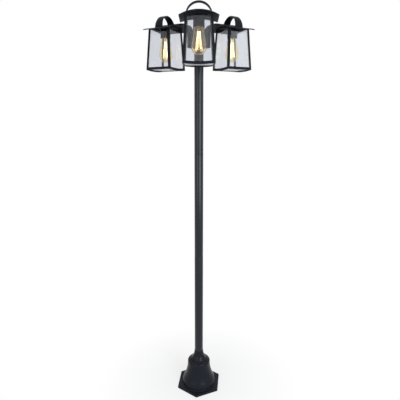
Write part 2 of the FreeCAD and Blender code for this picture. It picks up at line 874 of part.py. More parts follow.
def dip_radius():
    """Radius of the curved lower edge of the frame's inner and outer sides."""
    half = size("frame_half_bottom")
    dip = size("frame_rail_dip")
    return (half * half + dip * dip) / (2 * dip)


def dip_height(across, lift):
    """Height of an arc that lies by lift above the frame's curved lower edge."""
    radius = dip_radius()
    inner = radius - lift
    centre = frame_bottom() - size("frame_rail_dip") + radius
    return centre - root(inner * inner - across * across)


def frame_half(height, inset=0.0):
    """Half width of the tapered frame at a height, less an inset."""
    taper = size("frame_half_bottom") - size("frame_half_top")
    slope = taper / size("frame_height")
    return size("frame_half_bottom") - slope * (height - frame_bottom()) - inset


def frame_loft(body, name, kind, low, high, inset):
    """Tapered square block between two heights, added or cut away."""
    sections = []
    for label, height in (("low", low), ("high", high)):
        sketch = new_sketch(body, f"{name}_{label}", "XY_Plane", height)
        half = frame_half(height, inset)
        add_rectangle(sketch, half, half)
        sections.append(sketch)
    loft(body, name, kind, sections)


def cut_above_vault(body, gap=0.0):
    """Cut away what rises above the roof's underside."""
    wide = size("roof_half_width")
    eave = vault_height(wide, gap)
    top = roof_crown() + CLEAR
    sketch = new_sketch(body, "above_roof", "XZ_Plane")
    add_outline(sketch, [
        at(-wide, eave, "right", vault_radius() - gap),
        at(wide, eave),
        at(wide, top),
        at(-wide, top),
    ])
    cut_through(body, "above_roof_cut", sketch)


def make_lantern_frame(head):
    """Tapered frame of corner posts and rails, open on its four sides and below."""
    body = new_body(f"lantern_frame_{head}", head)
    wall = size("frame_wall")
    bottom = frame_bottom()
    lowest = bottom - size("frame_rail_dip")
    highest = arm_seat_height()
    ledge = bottom + size("frame_lip_thickness")
    frame_loft(body, "shell", "Additive", lowest, highest, as_length(0))
    frame_loft(body, "hollow", "Subtractive", ledge, highest, wall)
    lip = new_sketch(body, "lip_opening", "XY_Plane", ledge + CLEAR)
    opening = frame_half(bottom, wall + size("frame_lip"))
    add_rectangle(lip, opening, opening)
    cut_to(body, "lip_opening_cut", lip, ledge - lowest + 2 * CLEAR)
    cut_above_vault(body)

    half = size("frame_half_bottom")
    wide = half + CLEAR
    below = new_sketch(body, "below_rails", "XZ_Plane")
    add_outline(below, [
        at(-wide, bottom),
        at(-half, bottom, "left", dip_radius()),
        at(half, bottom),
        at(wide, bottom),
        at(wide, lowest - CLEAR),
        at(-wide, lowest - CLEAR),
    ])
    cut_through(body, "below_rails_cut", below)

    post = size("frame_post_width")
    rail = size("frame_rail_height")
    head_rail = size("frame_head_rail")
    low_x = frame_half(bottom + rail, post)
    high_x = frame_half(frame_top(), post)
    curved = new_sketch(body, "curved_windows", "XZ_Plane")
    add_outline(curved, [
        at(-low_x, dip_height(low_x, rail), "left", dip_radius() - rail),
        at(low_x, dip_height(low_x, rail)),
        at(high_x, vault_height(high_x, head_rail), "left", vault_radius() - head_rail),
        at(-high_x, vault_height(high_x, head_rail)),
    ])
    cut_through(body, "curved_windows_cut", curved)
    sill = bottom + rail
    lintel = vault_height(size("frame_half_top"), head_rail)
    straight = new_sketch(body, "straight_windows", "YZ_Plane")
    add_outline(straight, [
        at(-frame_half(sill, post), sill),
        at(frame_half(sill, post), sill),
        at(frame_half(lintel, post), lintel),
        at(-frame_half(lintel, post), lintel),
    ])
    cut_through(body, "straight_windows_cut", straight)


def pane_bottom():
    """Height of the side panes' lower edges, on the bottom pane."""
    return frame_bottom() + size("frame_lip_thickness") + size("glass_thickness")


def make_end_pane(label, head, side):
    """Tapered pane with an arched top, on the outer or the inner side of a lantern."""
    body = new_body(f"{label}_{head}", head)
    gap = size("glass_gap")
    inset = size("frame_wall") + gap
    low = pane_bottom()
    high = arm_seat_height()
    glass = size("glass_thickness")
    section = new_sketch(body, "pane_section", "YZ_Plane")
    add_outline(section, [
        at(side * frame_half(low, inset), low),
        at(side * frame_half(high, inset), high),
        at(side * frame_half(high, inset + glass), high),
        at(side * frame_half(low, inset + glass), low),
    ])
    pad(body, "pane", section, 2 * frame_half(low), symmetric=True)
    wide = frame_half(low) + CLEAR
    edges = new_sketch(body, "pane_edges", "XZ_Plane")
    for turn in (-1, 1):
        add_outline(edges, [
            at(turn * frame_half(low, inset), low),
            at(turn * wide, low),
            at(turn * wide, high),
            at(turn * frame_half(high, inset), high),
        ])
    cut_through(body, "pane_edges_cut", edges)
    cut_above_vault(body, gap)


def make_side_pane(label, head, side):
    """Tapered pane between the outer and the inner pane of a lantern."""
    body = new_body(f"{label}_{head}", head)
    gap = size("glass_gap")
    inset = size("frame_wall") + gap
    low = pane_bottom()
    glass = size("glass_thickness")
    high = vault_height(frame_half(frame_top(), inset), gap)
    section = new_sketch(body, "pane_section", "XZ_Plane")
    add_outline(section, [
        at(side * frame_half(low, inset), low),
        at(side * frame_half(high, inset), high),
        at(side * frame_half(high, inset + glass), high),
        at(side * frame_half(low, inset + glass), low),
    ])
    pad(body, "pane", section, 2 * frame_half(low), symmetric=True)
    wide = frame_half(low) + CLEAR
    edge = inset + glass + gap
    edges = new_sketch(body, "pane_edges", "YZ_Plane")
    for turn in (-1, 1):
        add_outline(edges, [
            at(turn * frame_half(low, edge), low),
            at(turn * wide, low),
            at(turn * wide, high),
            at(turn * frame_half(high, edge), high),
        ])
    cut_through(body, "pane_edges_cut", edges)


def make_bottom_pane(head):
    """Level pane that lies on the frame's ledge and closes the lantern below."""
    body = new_body(f"glass_bottom_{head}", head)
    ledge = frame_bottom() + size("frame_lip_thickness")
    half = frame_half(pane_bottom(), size("frame_wall") + size("glass_gap"))
    sketch = new_sketch(body, "pane_outline", "XY_Plane", ledge)
    add_rectangle(sketch, half, half)
    pad(body, "pane", sketch, size("glass_thickness"))


def make_roof(head):
    """Vaulted sheet with two straight eaves and two bowed edges."""
    body = new_body(f"roof_{head}", head)
    half = size("roof_half_width")
    depth = size("roof_half_depth")
    bulge = size("roof_bulge")
    eave = roof_eave()
    crown = roof_crown()
    sheet_metal = size("roof_thickness")
    edge = (half * half + bulge * bulge) / (2 * bulge)
    outline = new_sketch(body, "roof_outline", "XY_Plane", eave - CLEAR)
    add_outline(outline, [
        at(-half, -depth, "left", edge),
        at(half, -depth),
        at(half, depth, "left", edge),
        at(-half, depth),
    ])
    pad(body, "roof_block", outline, crown - eave + 2 * CLEAR)
    wide = half + CLEAR
    radius = vault_radius()
    top_radius = radius + sheet_metal
    under = vault_height(wide)
    over = vault_height(wide, -sheet_metal)
    waste = new_sketch(body, "vault", "XZ_Plane")
    add_outline(waste, [
        at(-wide, under, "right", radius),
        at(wide, under),
        at(wide, eave - 2 * CLEAR),
        at(-wide, eave - 2 * CLEAR),
    ])
    add_outline(waste, [
        at(-wide, over, "right", top_radius),
        at(wide, over),
        at(wide, crown + 2 * CLEAR),
        at(-wide, crown + 2 * CLEAR),
    ])
    cut_through(body, "vault_cut", waste)
    cut_nipple_hole(body)


def make_loop_handle(head):
    """Half round loop of flat strip that stands on the roof and narrows upward."""
    body = new_body(f"loop_handle_{head}", head)
    outer = size("loop_radius")
    inner = outer - size("loop_thickness")
    drop = -size("roof_thickness")
    centre = vault_height(outer, drop) + size("loop_straight")
    seat = vault_radius() + size("roof_thickness")
    top = centre + outer
    front = new_sketch(body, "loop_front", "XZ_Plane")
    add_outline(front, [
        at(inner, vault_height(inner, drop), "right", seat),
        at(outer, vault_height(outer, drop)),
        at(outer, centre, "left", outer),
        at(0, top, "left", outer),
        at(-outer, centre),
        at(-outer, vault_height(outer, drop), "right", seat),
        at(-inner, vault_height(inner, drop)),
        at(-inner, centre, "right", inner),
        at(0, centre + inner, "right", inner),
        at(inner, centre),
    ])
    foot = size("loop_width_foot") / 2
    pad(body, "loop", front, 2 * foot, symmetric=True)
    far_narrow = size("loop_width_top") - foot
    far_top = top + outer
    sides = new_sketch(body, "loop_sides", "YZ_Plane")
    for turn in (-1, 1):
        add_outline(sides, [
            at(turn * foot, centre),
            at(turn * (foot + CLEAR), centre),
            at(turn * (foot + CLEAR), far_top),
            at(turn * far_narrow, far_top),
        ])
    cut_through(body, "loop_sides_cut", sides)


# Lampholder and bulb


def make_lampholder(head):
    """Metal cup under the roof, beaded at its lower end."""
    body = new_body(f"lampholder_{head}", head)
    outer = size("holder_radius")
    inner = outer - size("holder_wall")
    top = holder_top()
    low = top - size("holder_height")
    bead = size("holder_rim_width")
    rim = low + size("holder_rim_height")
    hole = size("nipple_radius") + size("nipple_fit")
    spacer = size("holder_spacer_radius")
    section = new_sketch(body, "cup_section", "XZ_Plane")
    add_outline(section, [
        at(inner, low),
        at(outer + bead, low),
        at(outer + bead, rim - bead),
        at(outer, rim),
        at(outer, top - size("holder_wall"), "left", size("holder_wall")),
        at(inner, top),
        at(spacer, top),
        at(spacer, vault_height(spacer)),
        at(hole, vault_height(spacer)),
        at(hole, top - size("holder_wall")),
        at(inner, top - size("holder_wall")),
    ])
    revolve(body, "cup", section)


def make_socket_insert(head):
    """Insulator in the cup, with the screw socket for the bulb."""
    body = new_body(f"socket_insert_{head}", head)
    outer = size("holder_radius") - size("holder_wall") - size("insert_gap")
    socket = size("bulb_cap_radius") + size("socket_fit")
    wire = size("nipple_bore_radius")
    low, high = insert_heights()
    section = new_sketch(body, "insert_section", "XZ_Plane")
    add_outline(section, [
        at(socket, low),
        at(outer, low),
        at(outer, high),
        at(wire, high),
        at(wire, socket_top()),
        at(socket, socket_top()),
    ])
    revolve(body, "insert", section)


def nipple_seat():
    """Upper face of the arm, under the nut."""
    return arm_seat_height() + size("arm_thickness")


def make_nipple(head):
    """Threaded tube with a flange that ties the cup, the roof and the arm together."""
    body = new_body(f"nipple_{head}", head)
    flange_top = holder_top() - size("holder_wall")
    flange_low = flange_top - size("nipple_flange_thickness")
    end = nipple_seat() + size("nut_thickness") + size("nipple_end")
    section = new_sketch(body, "nipple_section", "XZ_Plane")
    add_outline(section, [
        at(size("nipple_bore_radius"), flange_low),
        at(size("nipple_flange_radius"), flange_low),
        at(size("nipple_flange_radius"), flange_top),
        at(size("nipple_radius"), flange_top),
        at(size("nipple_radius"), end),
        at(size("nipple_bore_radius"), end),
    ])
    revolve(body, "threaded_tube", section)


def make_nipple_nuts():
    """Hexagonal nut on the arm of each head."""
    body = new_body("nipple_nuts")
    sketch = new_sketch(body, "nut_outline", "XY_Plane", nipple_seat())
    middle = -head_radius()
    add_outline(sketch, hexagon(0, middle, size("nut_corner_radius"), as_length(0)))
    add_circle(sketch, 0, middle, size("nipple_radius") + size("nipple_fit"))
    nut = pad(body, "nut", sketch, size("nut_thickness"))
    polar(body, "nuts", [nut], HEAD_COUNT)


def make_bulb_cap(head):
    """Screw cap of the bulb with its contact."""
    body = new_body(f"bulb_cap_{head}", head)
    radius = size("bulb_cap_radius")
    contact = size("bulb_contact_radius")
    seat = bulb_seat_height()
    top = socket_top() - size("bulb_cap_gap")
    tip = top + size("bulb_contact_height")
    bevel = size("bulb_cap_bevel")
    section = new_sketch(body, "cap_section", "XZ_Plane")
    add_outline(section, [
        at(0, seat),
        at(radius, seat),
        at(radius, top - bevel),
        at(radius - bevel, top),
        at(contact + size("bulb_contact_flare"), top),
        at(contact, tip),
        at(0, tip),
    ])
    revolve(body, "cap", section)


def make_bulb_glass(head):
    """Teardrop bulb, a thin shell that tapers up to its neck."""
    body = new_body(f"bulb_glass_{head}", head)
    outer = size("bulb_radius")
    wall = size("bulb_wall")
    inner = outer - wall
    angle = size("bulb_shoulder")
    neck = size("bulb_neck_radius")
    seat = bulb_seat_height()
    neck_height = seat - size("bulb_neck_turn")
    centre = neck_height - size("bulb_taper")
    mouth = size("bulb_cap_radius")
    section = new_sketch(body, "bulb_section", "XZ_Plane")
    add_outline(section, [
        at(0, centre - outer, "left", outer),
        at(outer * cosine(angle), centre + outer * sine(angle)),
        at(neck, neck_height),
        at(mouth, seat),
        at(mouth - wall, seat),
        at(neck - wall, neck_height),
        at(inner * cosine(angle), centre + inner * sine(angle), "right", inner),
        at(0, centre - inner),
    ])
    revolve(body, "shell", section)


def make_bulb_filament(head):
    """Glass rod with two spreaders and upright filament wires between them."""
    body = new_body(f"bulb_filament_{head}", head)
    seat = bulb_seat_height()
    foot = size("stem_foot_radius")
    stem = size("stem_radius")
    foot_low = seat - size("stem_foot_height")
    circle = size("filament_circle_radius")
    wire_radius = size("filament_wire_radius")
    spreader = circle + wire_radius + size("spreader_edge")
    plate = size("spreader_thickness")
    high = seat - size("filament_drop")
    low = high - size("filament_length")
    section = new_sketch(body, "stem_section", "XZ_Plane")
    add_outline(section, [
        at(0, seat),
        at(0, low - plate),
        at(spreader, low - plate),
        at(spreader, low),
        at(stem, low),
        at(stem, high),
        at(spreader, high),
        at(spreader, high + plate),
        at(stem, high + plate),
        at(stem, foot_low),
        at(foot, seat),
    ])
    revolve(body, "stem", section)
    wire = new_sketch(body, "wire_end", "XY_Plane", low - plate / 2)
    add_circle(wire, circle, 0, wire_radius)
    wires = pad(body, "wire", wire, high - low + plate)
    polar(body, "wires", [wires], size("filament_wire_count"))


def make_head(head):
    """All the pieces of one lantern head."""
    make_lantern_frame(head)
    make_roof(head)
    make_loop_handle(head)
    make_strap_arm(head)
    make_end_pane("glass_outer", head, -1)
    make_end_pane("glass_inner", head, 1)
    make_side_pane("glass_side_a", head, -1)
    make_side_pane("glass_side_b", head, 1)
    make_bottom_pane(head)
    make_lampholder(head)
    make_socket_insert(head)
    make_nipple(head)
    make_bulb_cap(head)
    make_bulb_glass(head)
    make_bulb_filament(head)


def check_model():
    """Stop if a feature failed, a cut removed nothing or a body has no valid solid."""
    for item in doc.Objects:
        if "Invalid" in item.State or "Error" in item.State:
            raise RuntimeError(f"{item.Name} did not compute: {item.State}")
        if item.TypeId == "PartDesign::Pocket":
            before = item.BaseFeature.Shape.Volume
            if item.Shape.Volume > before - 1e-3:
                raise RuntimeError(f"{item.Name} cuts nothing")
    for body in bodies():
        shape = body.Shape
        if shape.isNull() or not shape.isValid() or not shape.Solids:
            raise RuntimeError(f"{body.Label} has no valid solid")


def bodies():
    """All the bodies of the document."""
    return [item for item in doc.Objects if item.TypeId == "PartDesign::Body"]


fill_sheet()
make_base_casting()
make_base_collar()
make_base_lock_screws()
make_anchor_plate()
make_pole()
make_head_hub()
make_hub_cap()
make_arm_screws()
make_nipple_nuts()
for head_name in HEADS:
    make_head(head_name)
doc.recompute()
check_model()
os.makedirs("parts", exist_ok=True)
for body in bodies():
    body.Shape.exportStep(f"parts/{body.Label}.step")
    print(body.Label, "solids", len(body.Shape.Solids), "volume", round(body.Shape.Volume))
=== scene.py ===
"""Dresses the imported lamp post: finer surfaces, finishes, floor, light and camera.

Lengths are metres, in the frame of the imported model. Each lantern is modelled about its own
upright axis, with X across it and -Y away from the pole, and is then turned to its place.
"""

import json
import math

import bmesh
import bpy
from bpy.props import FloatProperty, FloatVectorProperty, IntProperty, PointerProperty
from mathutils import Matrix, Vector


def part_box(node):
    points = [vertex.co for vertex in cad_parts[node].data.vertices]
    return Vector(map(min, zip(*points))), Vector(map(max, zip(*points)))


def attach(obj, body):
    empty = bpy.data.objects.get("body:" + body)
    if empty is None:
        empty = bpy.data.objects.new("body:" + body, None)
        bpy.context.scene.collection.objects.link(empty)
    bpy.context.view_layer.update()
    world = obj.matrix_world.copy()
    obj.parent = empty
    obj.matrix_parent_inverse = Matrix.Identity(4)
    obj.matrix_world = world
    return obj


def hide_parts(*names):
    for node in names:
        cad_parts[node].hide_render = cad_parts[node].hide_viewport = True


bl_info = {
    "name": "Triple Head Lamp Post",
    "version": (1, 0, 0),
    "blender": (4, 5, 0),
    "location": "3D View > Sidebar > Lamp Post",
    "description": "Builds the surfaces, finishes and stage of a three lantern lamp post",
    "category": "Object",
}

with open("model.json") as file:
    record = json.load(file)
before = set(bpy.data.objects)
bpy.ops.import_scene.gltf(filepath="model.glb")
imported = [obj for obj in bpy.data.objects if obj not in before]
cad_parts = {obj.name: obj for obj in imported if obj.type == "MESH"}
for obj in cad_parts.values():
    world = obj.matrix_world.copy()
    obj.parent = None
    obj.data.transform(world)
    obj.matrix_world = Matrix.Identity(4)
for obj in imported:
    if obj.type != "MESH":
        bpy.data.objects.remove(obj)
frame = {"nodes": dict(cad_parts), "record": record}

HEADS = ("front", "left", "right")
POST = "post"
MM = 0.001
FULL_TURN = 2.0 * math.pi
QUARTER_TURN = math.pi / 2
LYING = Matrix.Rotation(QUARTER_TURN, 4, "X")
SIDES_FOOT, SIDES_TUBE, SIDES_SOCKET, SIDES_SCREW = 128, 96, 64, 24
WARM = (1.0, 0.6, 0.25, 1.0)
WHITE = (1.0, 1.0, 1.0, 1.0)


def low(node):
    """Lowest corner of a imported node."""
    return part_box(node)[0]


def high(node):
    """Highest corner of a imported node."""
    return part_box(node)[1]


def middle(node, axis):
    """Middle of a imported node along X, 0, or Y, 1."""
    return (low(node)[axis] + high(node)[axis]) / 2


def ends(node):
    """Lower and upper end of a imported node."""
    return low(node)[2], high(node)[2]


def half_across(node):
    """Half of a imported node's width, which is a round node's radius."""
    return (high(node)[0] - low(node)[0]) / 2


def number(name, description, default, unit="NONE"):
    """A property that is a plain number, or a measure with a unit."""
    return FloatProperty(
        name=name, description=description, default=default, unit=unit, precision=4
    )


def mm(name, description, default):
    """A length property, its default given in millimetres."""
    return number(name, description, default * MM, "LENGTH")


def count(name, description, default, least, most):
    """A property that is a whole number between two others."""
    return IntProperty(name=name, description=description, default=default, min=least, max=most)


def colour(name, description, default):
    """A colour property."""
    return FloatVectorProperty(
        name=name, description=description, default=default, subtype="COLOR", min=0.0, max=1.0
    )


class LampFinish(bpy.types.PropertyGroup):
    """Colours of the coating, glass and light."""

    coat: colour("Coat", "Powder coat of the sheet metal and tubes", (0.0058, 0.0076, 0.0118))
    coat_light: colour("Coat specks", "Lighter grains in the powder coat", (0.018, 0.021, 0.028))
    cast: colour("Castings", "Powder coat of the foot, collar and hub", (0.0095, 0.011, 0.0155))
    glass: colour("Glass", "Tint of the side panes", (0.785, 0.80, 0.83))
    satin: colour("Satin glass", "Tint of the bottom panes", (0.93, 0.94, 0.95))
    amber: colour("Bulb glass", "Tint of the bulbs", (1.0, 0.91, 0.70))
    glow: colour("Filament", "Light of the filaments", (1.0, 0.78, 0.50))


class LampFoot(bpy.types.PropertyGroup):
    """Foot plate, bell and collar."""

    corner_radius: mm("Corner radius", "Foot plate, centre to corner", 124)
    plate: mm("Plate", "Thickness of the foot plate", 10)
    plate_edge: mm("Plate edge", "Rounding of its upper edges", 2)
    turn: number("Turn", "Turn of the foot plate", math.radians(-6.2), "ROTATION")
    bell_radius: mm("Bell radius", "Bell at the foot plate", 90)
    fillet: mm("Fillet", "Cast rounding between plate and bell", 3)
    flare: mm("Flare", "Radius of the bell's round part", 70)
    waist: mm("Waist", "Radius of the bell's straight band", 60)
    curve_rise: mm("Curve rise", "Height of the bell's curve", 122)
    band: mm("Band", "Straight band above the curve", 4)
    shoulder_run: mm("Shoulder run", "Width of the shoulder, seen from above", 9)
    shoulder_rise: mm("Shoulder rise", "Height of the shoulder", 8)
    shoulder_bend: mm("Shoulder bend", "Radius of the shoulder", 10)
    inner_bend: mm("Inner bend", "Radius of the shoulder inside the bell", 8)
    crown_rise: mm("Crown rise", "Rise of the top above the shoulder", 5.5)
    seat_gap: mm("Seat gap", "Groove round the collar", 1.5)
    wall: mm("Wall", "Wall of the bell", 4)
    rim: mm("Collar rim", "Upright rim of the collar", 5)
    neck_wall: mm("Neck wall", "Wall of the collar at its upper end", 1.4)
    grub: mm("Grub screw", "Radius of the collar's screws", 2.5)
    grub_rise: mm("Grub screw rise", "Collar's seat to its screws", 26.5)


class LampPole(bpy.types.PropertyGroup):
    """Pole tubes, hub and its screws."""

    wall: mm("Wall", "Wall of the tubes", 2)
    end_round: mm("Tube end", "Rounding, seen as a joint line", 0.8)
    hub_radius: mm("Hub radius", "Hub sleeve", 28)
    hub_hole: mm("Hub hole", "Radius of the hole in its top", 10)
    boss_width: mm("Boss width", "Flat boss for an arm", 36)
    boss_height: mm("Boss height", "Flat boss, upright", 50)
    boss_drop: mm("Boss drop", "Top of the hub to a boss", 3)
    boss_reach: mm("Boss reach", "Pole axis to the face of a boss", 44.7)
    screw_margin: mm("Screw margin", "Edge of the boss to a screw", 12)
    screw_head: mm("Screw head", "Radius of an arm screw's head", 5.5)
    screw_dome: mm("Screw dome", "Height of an arm screw's head", 3.3)
    screw_length: mm("Screw length", "Arm screw below its head", 14)
    cap_skirt: mm("Cap skirt", "Upright edge of the hub cap", 3)
    nut: mm("Nut", "Centre to corner of a nut", 9.8)
    nut_height: mm("Nut height", "Height of a nut", 5)
    nut_bore: mm("Nut bore", "Radius of the nut's bore", 5.1)


class LampLantern(bpy.types.PropertyGroup):
    """Frame, roof, loop, arm and lampholder of a lantern."""

    half_bottom: mm("Half width below", "Frame at its foot", high("lantern_frame_front")[0] / MM)
    half_top: mm("Half width above", "Frame under the eave", 59)
    height: mm("Frame height", "Between the two half widths", 183)
    wall: mm("Metal", "Thickness of the frame", 3.5)
    post: mm("Post", "Face of a corner post", 10)
    rail: mm("Rail", "Height of a bottom rail", 12)
    dip: mm("Dip", "Sag of the curved bottom rails", 5)
    head_rail: mm("Head rail", "Height of a top rail", 5.5)
    lip: mm("Ledge", "Width, under the bottom pane", 5)
    ledge: mm("Ledge thickness", "Thickness of the ledge", 2)
    roof_half: mm("Roof half width", "Centre to a straight eave", high("roof_front")[0] / MM)
    roof_depth: mm("Roof half depth", "Centre to a roof corner", 75)
    roof_bulge: mm("Roof bulge", "Bow of the roof's curved edges", 20)
    roof_rise: mm("Roof rise", "Eave to the middle of the roof", 17)
    sheet: mm("Roof sheet", "Thickness of the roof", 2)
    loop_radius: mm("Loop radius", "Outer face of the loop", high("loop_handle_front")[0] / MM)
    loop_thickness: mm("Loop strip", "Thickness of the loop", 3)
    loop_foot: mm("Loop foot", "Width of the loop at the roof", 45)
    loop_top: mm("Loop top", "Width of the loop at its top", 32)
    arm_thickness: mm("Arm thickness", "Thickness of the strap arm", 4)
    arm_bend: mm("Arm bend", "Outer radius of the arm's bend", 37)
    arm_corner: mm("Arm corner", "Rounded corners of the arm's outer end", 8)
    cup_wall: mm("Cup wall", "Wall of the lampholder cup", 1.5)
    cup_bead: mm("Cup bead", "Bead at the cup's lower end, width", 1.2)
    cup_bead_height: mm("Cup bead height", "Bead at the cup's lower end", 5)
    cup_drop: mm("Cup drop", "Roof crown to the top of the cup", 2)
    cup_bend: mm("Cup bend", "Rounding of the cup's upper edge", 4)
    cup_spacer: mm("Cup spacer", "Radius, between cup and roof", 8)
    cup_hole: mm("Cup hole", "Radius, for the threaded tube", 5.1)


class LampBulb(bpy.types.PropertyGroup):
    """Bulb, cap, socket and filament."""

    shoulder: number("Shoulder", "Where the sides turn straight", math.radians(10.0), "ROTATION")
    neck: mm("Neck radius", "Bulb neck at the cup", 19)
    neck_turn: mm("Neck turn", "Neck, from its widest to the screw cap", 8)
    neck_bend: mm("Neck bend", "Radius of the neck's curve", 8.5)
    glass: mm("Glass", "Thickness of the bulb glass", 0.8)
    cap: mm("Cap radius", "Screw cap", 13)
    socket: mm("Socket radius", "Bore of the screw socket", 13.08)
    socket_crown: mm("Socket crown", "Ceramic above the screw socket", 6)
    thread: mm("Thread", "Depth of the cap's thread", 0.4)
    threads: count("Threads", "Turns of the cap's thread", 5, 3, 8)
    contact: mm("Contact", "Radius of the contact on the cap", 4.5)
    contact_height: mm("Contact height", "Contact on the cap", 3)
    stem: mm("Stem", "Radius of the glass rod", 1.5)
    filament_drop: mm("Filament drop", "Screw cap to the upper hooks", 26)
    filament_length: mm("Filament length", "Upper to lower hooks", 80)
    filament_top: mm("Upper hooks", "Radius of the upper hooks", 5.5)
    filament_bottom: mm("Lower hooks", "Radius of the lower hooks", 16.5)
    wire: mm("Wire", "Radius of the filament wire", 0.3)
    hairpins: count("Hairpins", "Filament hairpins", 10, 3, 16)


class LampStage(bpy.types.PropertyGroup):
    """Camera, floor and light."""

    camera: FloatVectorProperty(
        name="Camera", description="Its place", default=(-0.0015, -1.9332, 1.513), subtype="XYZ"
    )
    pitch: number("Pitch", "Downward tilt of the camera", 0.18859, "ROTATION")
    focal: number("Focal length", "Lens on a 36 mm sensor, in mm", 35.209)
    shift_x: number("Shift across", "Image shift, in image widths", 0.0036)
    shift_y: number("Shift up", "Image shift, in image widths", -0.05)
    floor_size: mm("Floor", "Side of the floor", 12000)
    world_light: number("World light", "Strength of the even light", 0.5)
    lamp_colour: colour("Lamp colour", "Colour of the softboxes", (0.86, 0.93, 1.0))
    key_light: number("Key light", "Power of the main softbox, in watts", 13.0)
    side_light: number("Side light", "Power of the narrower softbox, in watts", 27.0)
    fill_light: number("Fill light", "Power of the second softbox, in watts", 5.0)


# Materials


def new_material(name):
    """A node material and its principled shader."""
    material = bpy.data.materials.new(name)
    material.use_nodes = True
    return material, material.node_tree.nodes["Principled BSDF"]


def add_node(near, kind, **values):
    """A node with its inputs and settings, in the tree of another node or socket."""
    node = near.id_data.nodes.new(kind)
    for key, value in values.items():
        if key in node.inputs:
            node.inputs[key].default_value = value
        else:
            setattr(node, key, value)
    return node


def set_inputs(node, values):
    """Give inputs their values, by name."""
    for name, value in values.items():
        node.inputs[name].default_value = value


def link(output, target):
    """Join two sockets."""
    output.id_data.links.new(output, target)


def object_noise(near, scale, detail=3.0, roughness=0.55):
    """Noise from 0 to 1 that is fixed to the object."""
    place = add_node(near, "ShaderNodeTexCoord")
    noise = add_node(near, "ShaderNodeTexNoise", Scale=scale, Detail=detail, Roughness=roughness)
    link(place.outputs["Object"], noise.inputs["Vector"])
    return noise.outputs["Fac"]


def mapped(source, wanted=(0.0, 1.0), given=(0.3, 0.7)):
    """A value stretched from the range it is given in to the wanted one."""
    node = add_node(source, "ShaderNodeMapRange")
    set_inputs(node, {"From Min": given[0], "From Max": given[1]})
    set_inputs(node, {"To Min": wanted[0], "To Max": wanted[1]})
    link(source, node.inputs["Value"])
    return node.outputs["Result"]


def blended(factor, first, second):
    """A mix of two colours."""
    node = add_node(factor, "ShaderNodeMix", data_type="RGBA")
    sockets = [socket for socket in node.inputs if socket.type == "RGBA"]
    for socket, tint in zip(sockets, (first, second)):
        socket.default_value = (*tint, 1.0)
    link(factor, node.inputs["Factor"])
    return [socket for socket in node.outputs if socket.type == "RGBA"][0]


def mixed(factor, first, second):
    """A mix of two shaders."""
    node = add_node(factor, "ShaderNodeMixShader")
    for socket, source in zip(node.inputs, (factor, first, second)):
        link(source, socket)
    return node.outputs[0]


def raise_bumps(shader, height, strength, distance):
    """Bump the surface by a height."""
    bump = add_node(shader, "ShaderNodeBump", Strength=strength, Distance=distance)
    link(height, bump.inputs["Height"])
    link(bump.outputs["Normal"], shader.inputs["Normal"])


def powder_coat(name, base, specks, grain, depth, gloss, matt=0.0):
    """Powder coat: fine grains, broad cloudiness and an uneven sheen, more or less matt."""
    material, shader = new_material(name)
    grains = object_noise(shader, grain, detail=4.0, roughness=0.6)
    clouds = object_noise(shader, 9.0, detail=2.0)
    tone = mapped(grains, given=(0.46, 0.78))
    link(blended(tone, base, specks), shader.inputs["Base Color"])
    link(mapped(clouds, (0.22 + matt, 0.31 + matt)), shader.inputs["Roughness"])
    shader.inputs["Specular IOR Level"].default_value = gloss
    raise_bumps(shader, grains, 0.12, depth)
    return material


def mottled(name, grain, dark, light, sheen, metallic=1.0):
    """Metal or glaze, mottled in its tone, and in its sheen where that has a range."""
    material, shader = new_material(name)
    mottle = object_noise(shader, grain)
    link(blended(mapped(mottle), dark, light), shader.inputs["Base Color"])
    set_inputs(shader, {"Metallic": metallic, "Roughness": sheen[0]})
    if sheen[0] < sheen[-1]:
        link(mapped(mottle, sheen), shader.inputs["Roughness"])
    return material


def glass(name, tint, grain, detail, strength, depth, through=1.0, roughness=0.0, glow=0.0):
    """Tinted glass with the faint waves of a drawn pane, or frosted by a fine grain."""
    material, shader = new_material(name)
    set_inputs(shader, {"Base Color": (*tint, 1.0), "Transmission Weight": through})
    set_inputs(shader, {"Roughness": roughness, "IOR": 1.45})
    set_inputs(shader, {"Emission Color": WARM, "Emission Strength": glow})
    raise_bumps(shader, object_noise(shader, grain, detail), strength, depth)
    return material


def glowing_wire(tint, strength):
    """Hot filament, brighter in places along its wires."""
    material, shader = new_material("glowing_wire")
    set_inputs(shader, {"Base Color": (*tint, 1.0), "Emission Strength": strength})
    hot = tuple(min(1.0, 1.25 * value) for value in tint)
    heat = mapped(object_noise(shader, 300.0))
    link(blended(heat, tint, hot), shader.inputs["Emission Color"])
    return material


MATERIALS = {}


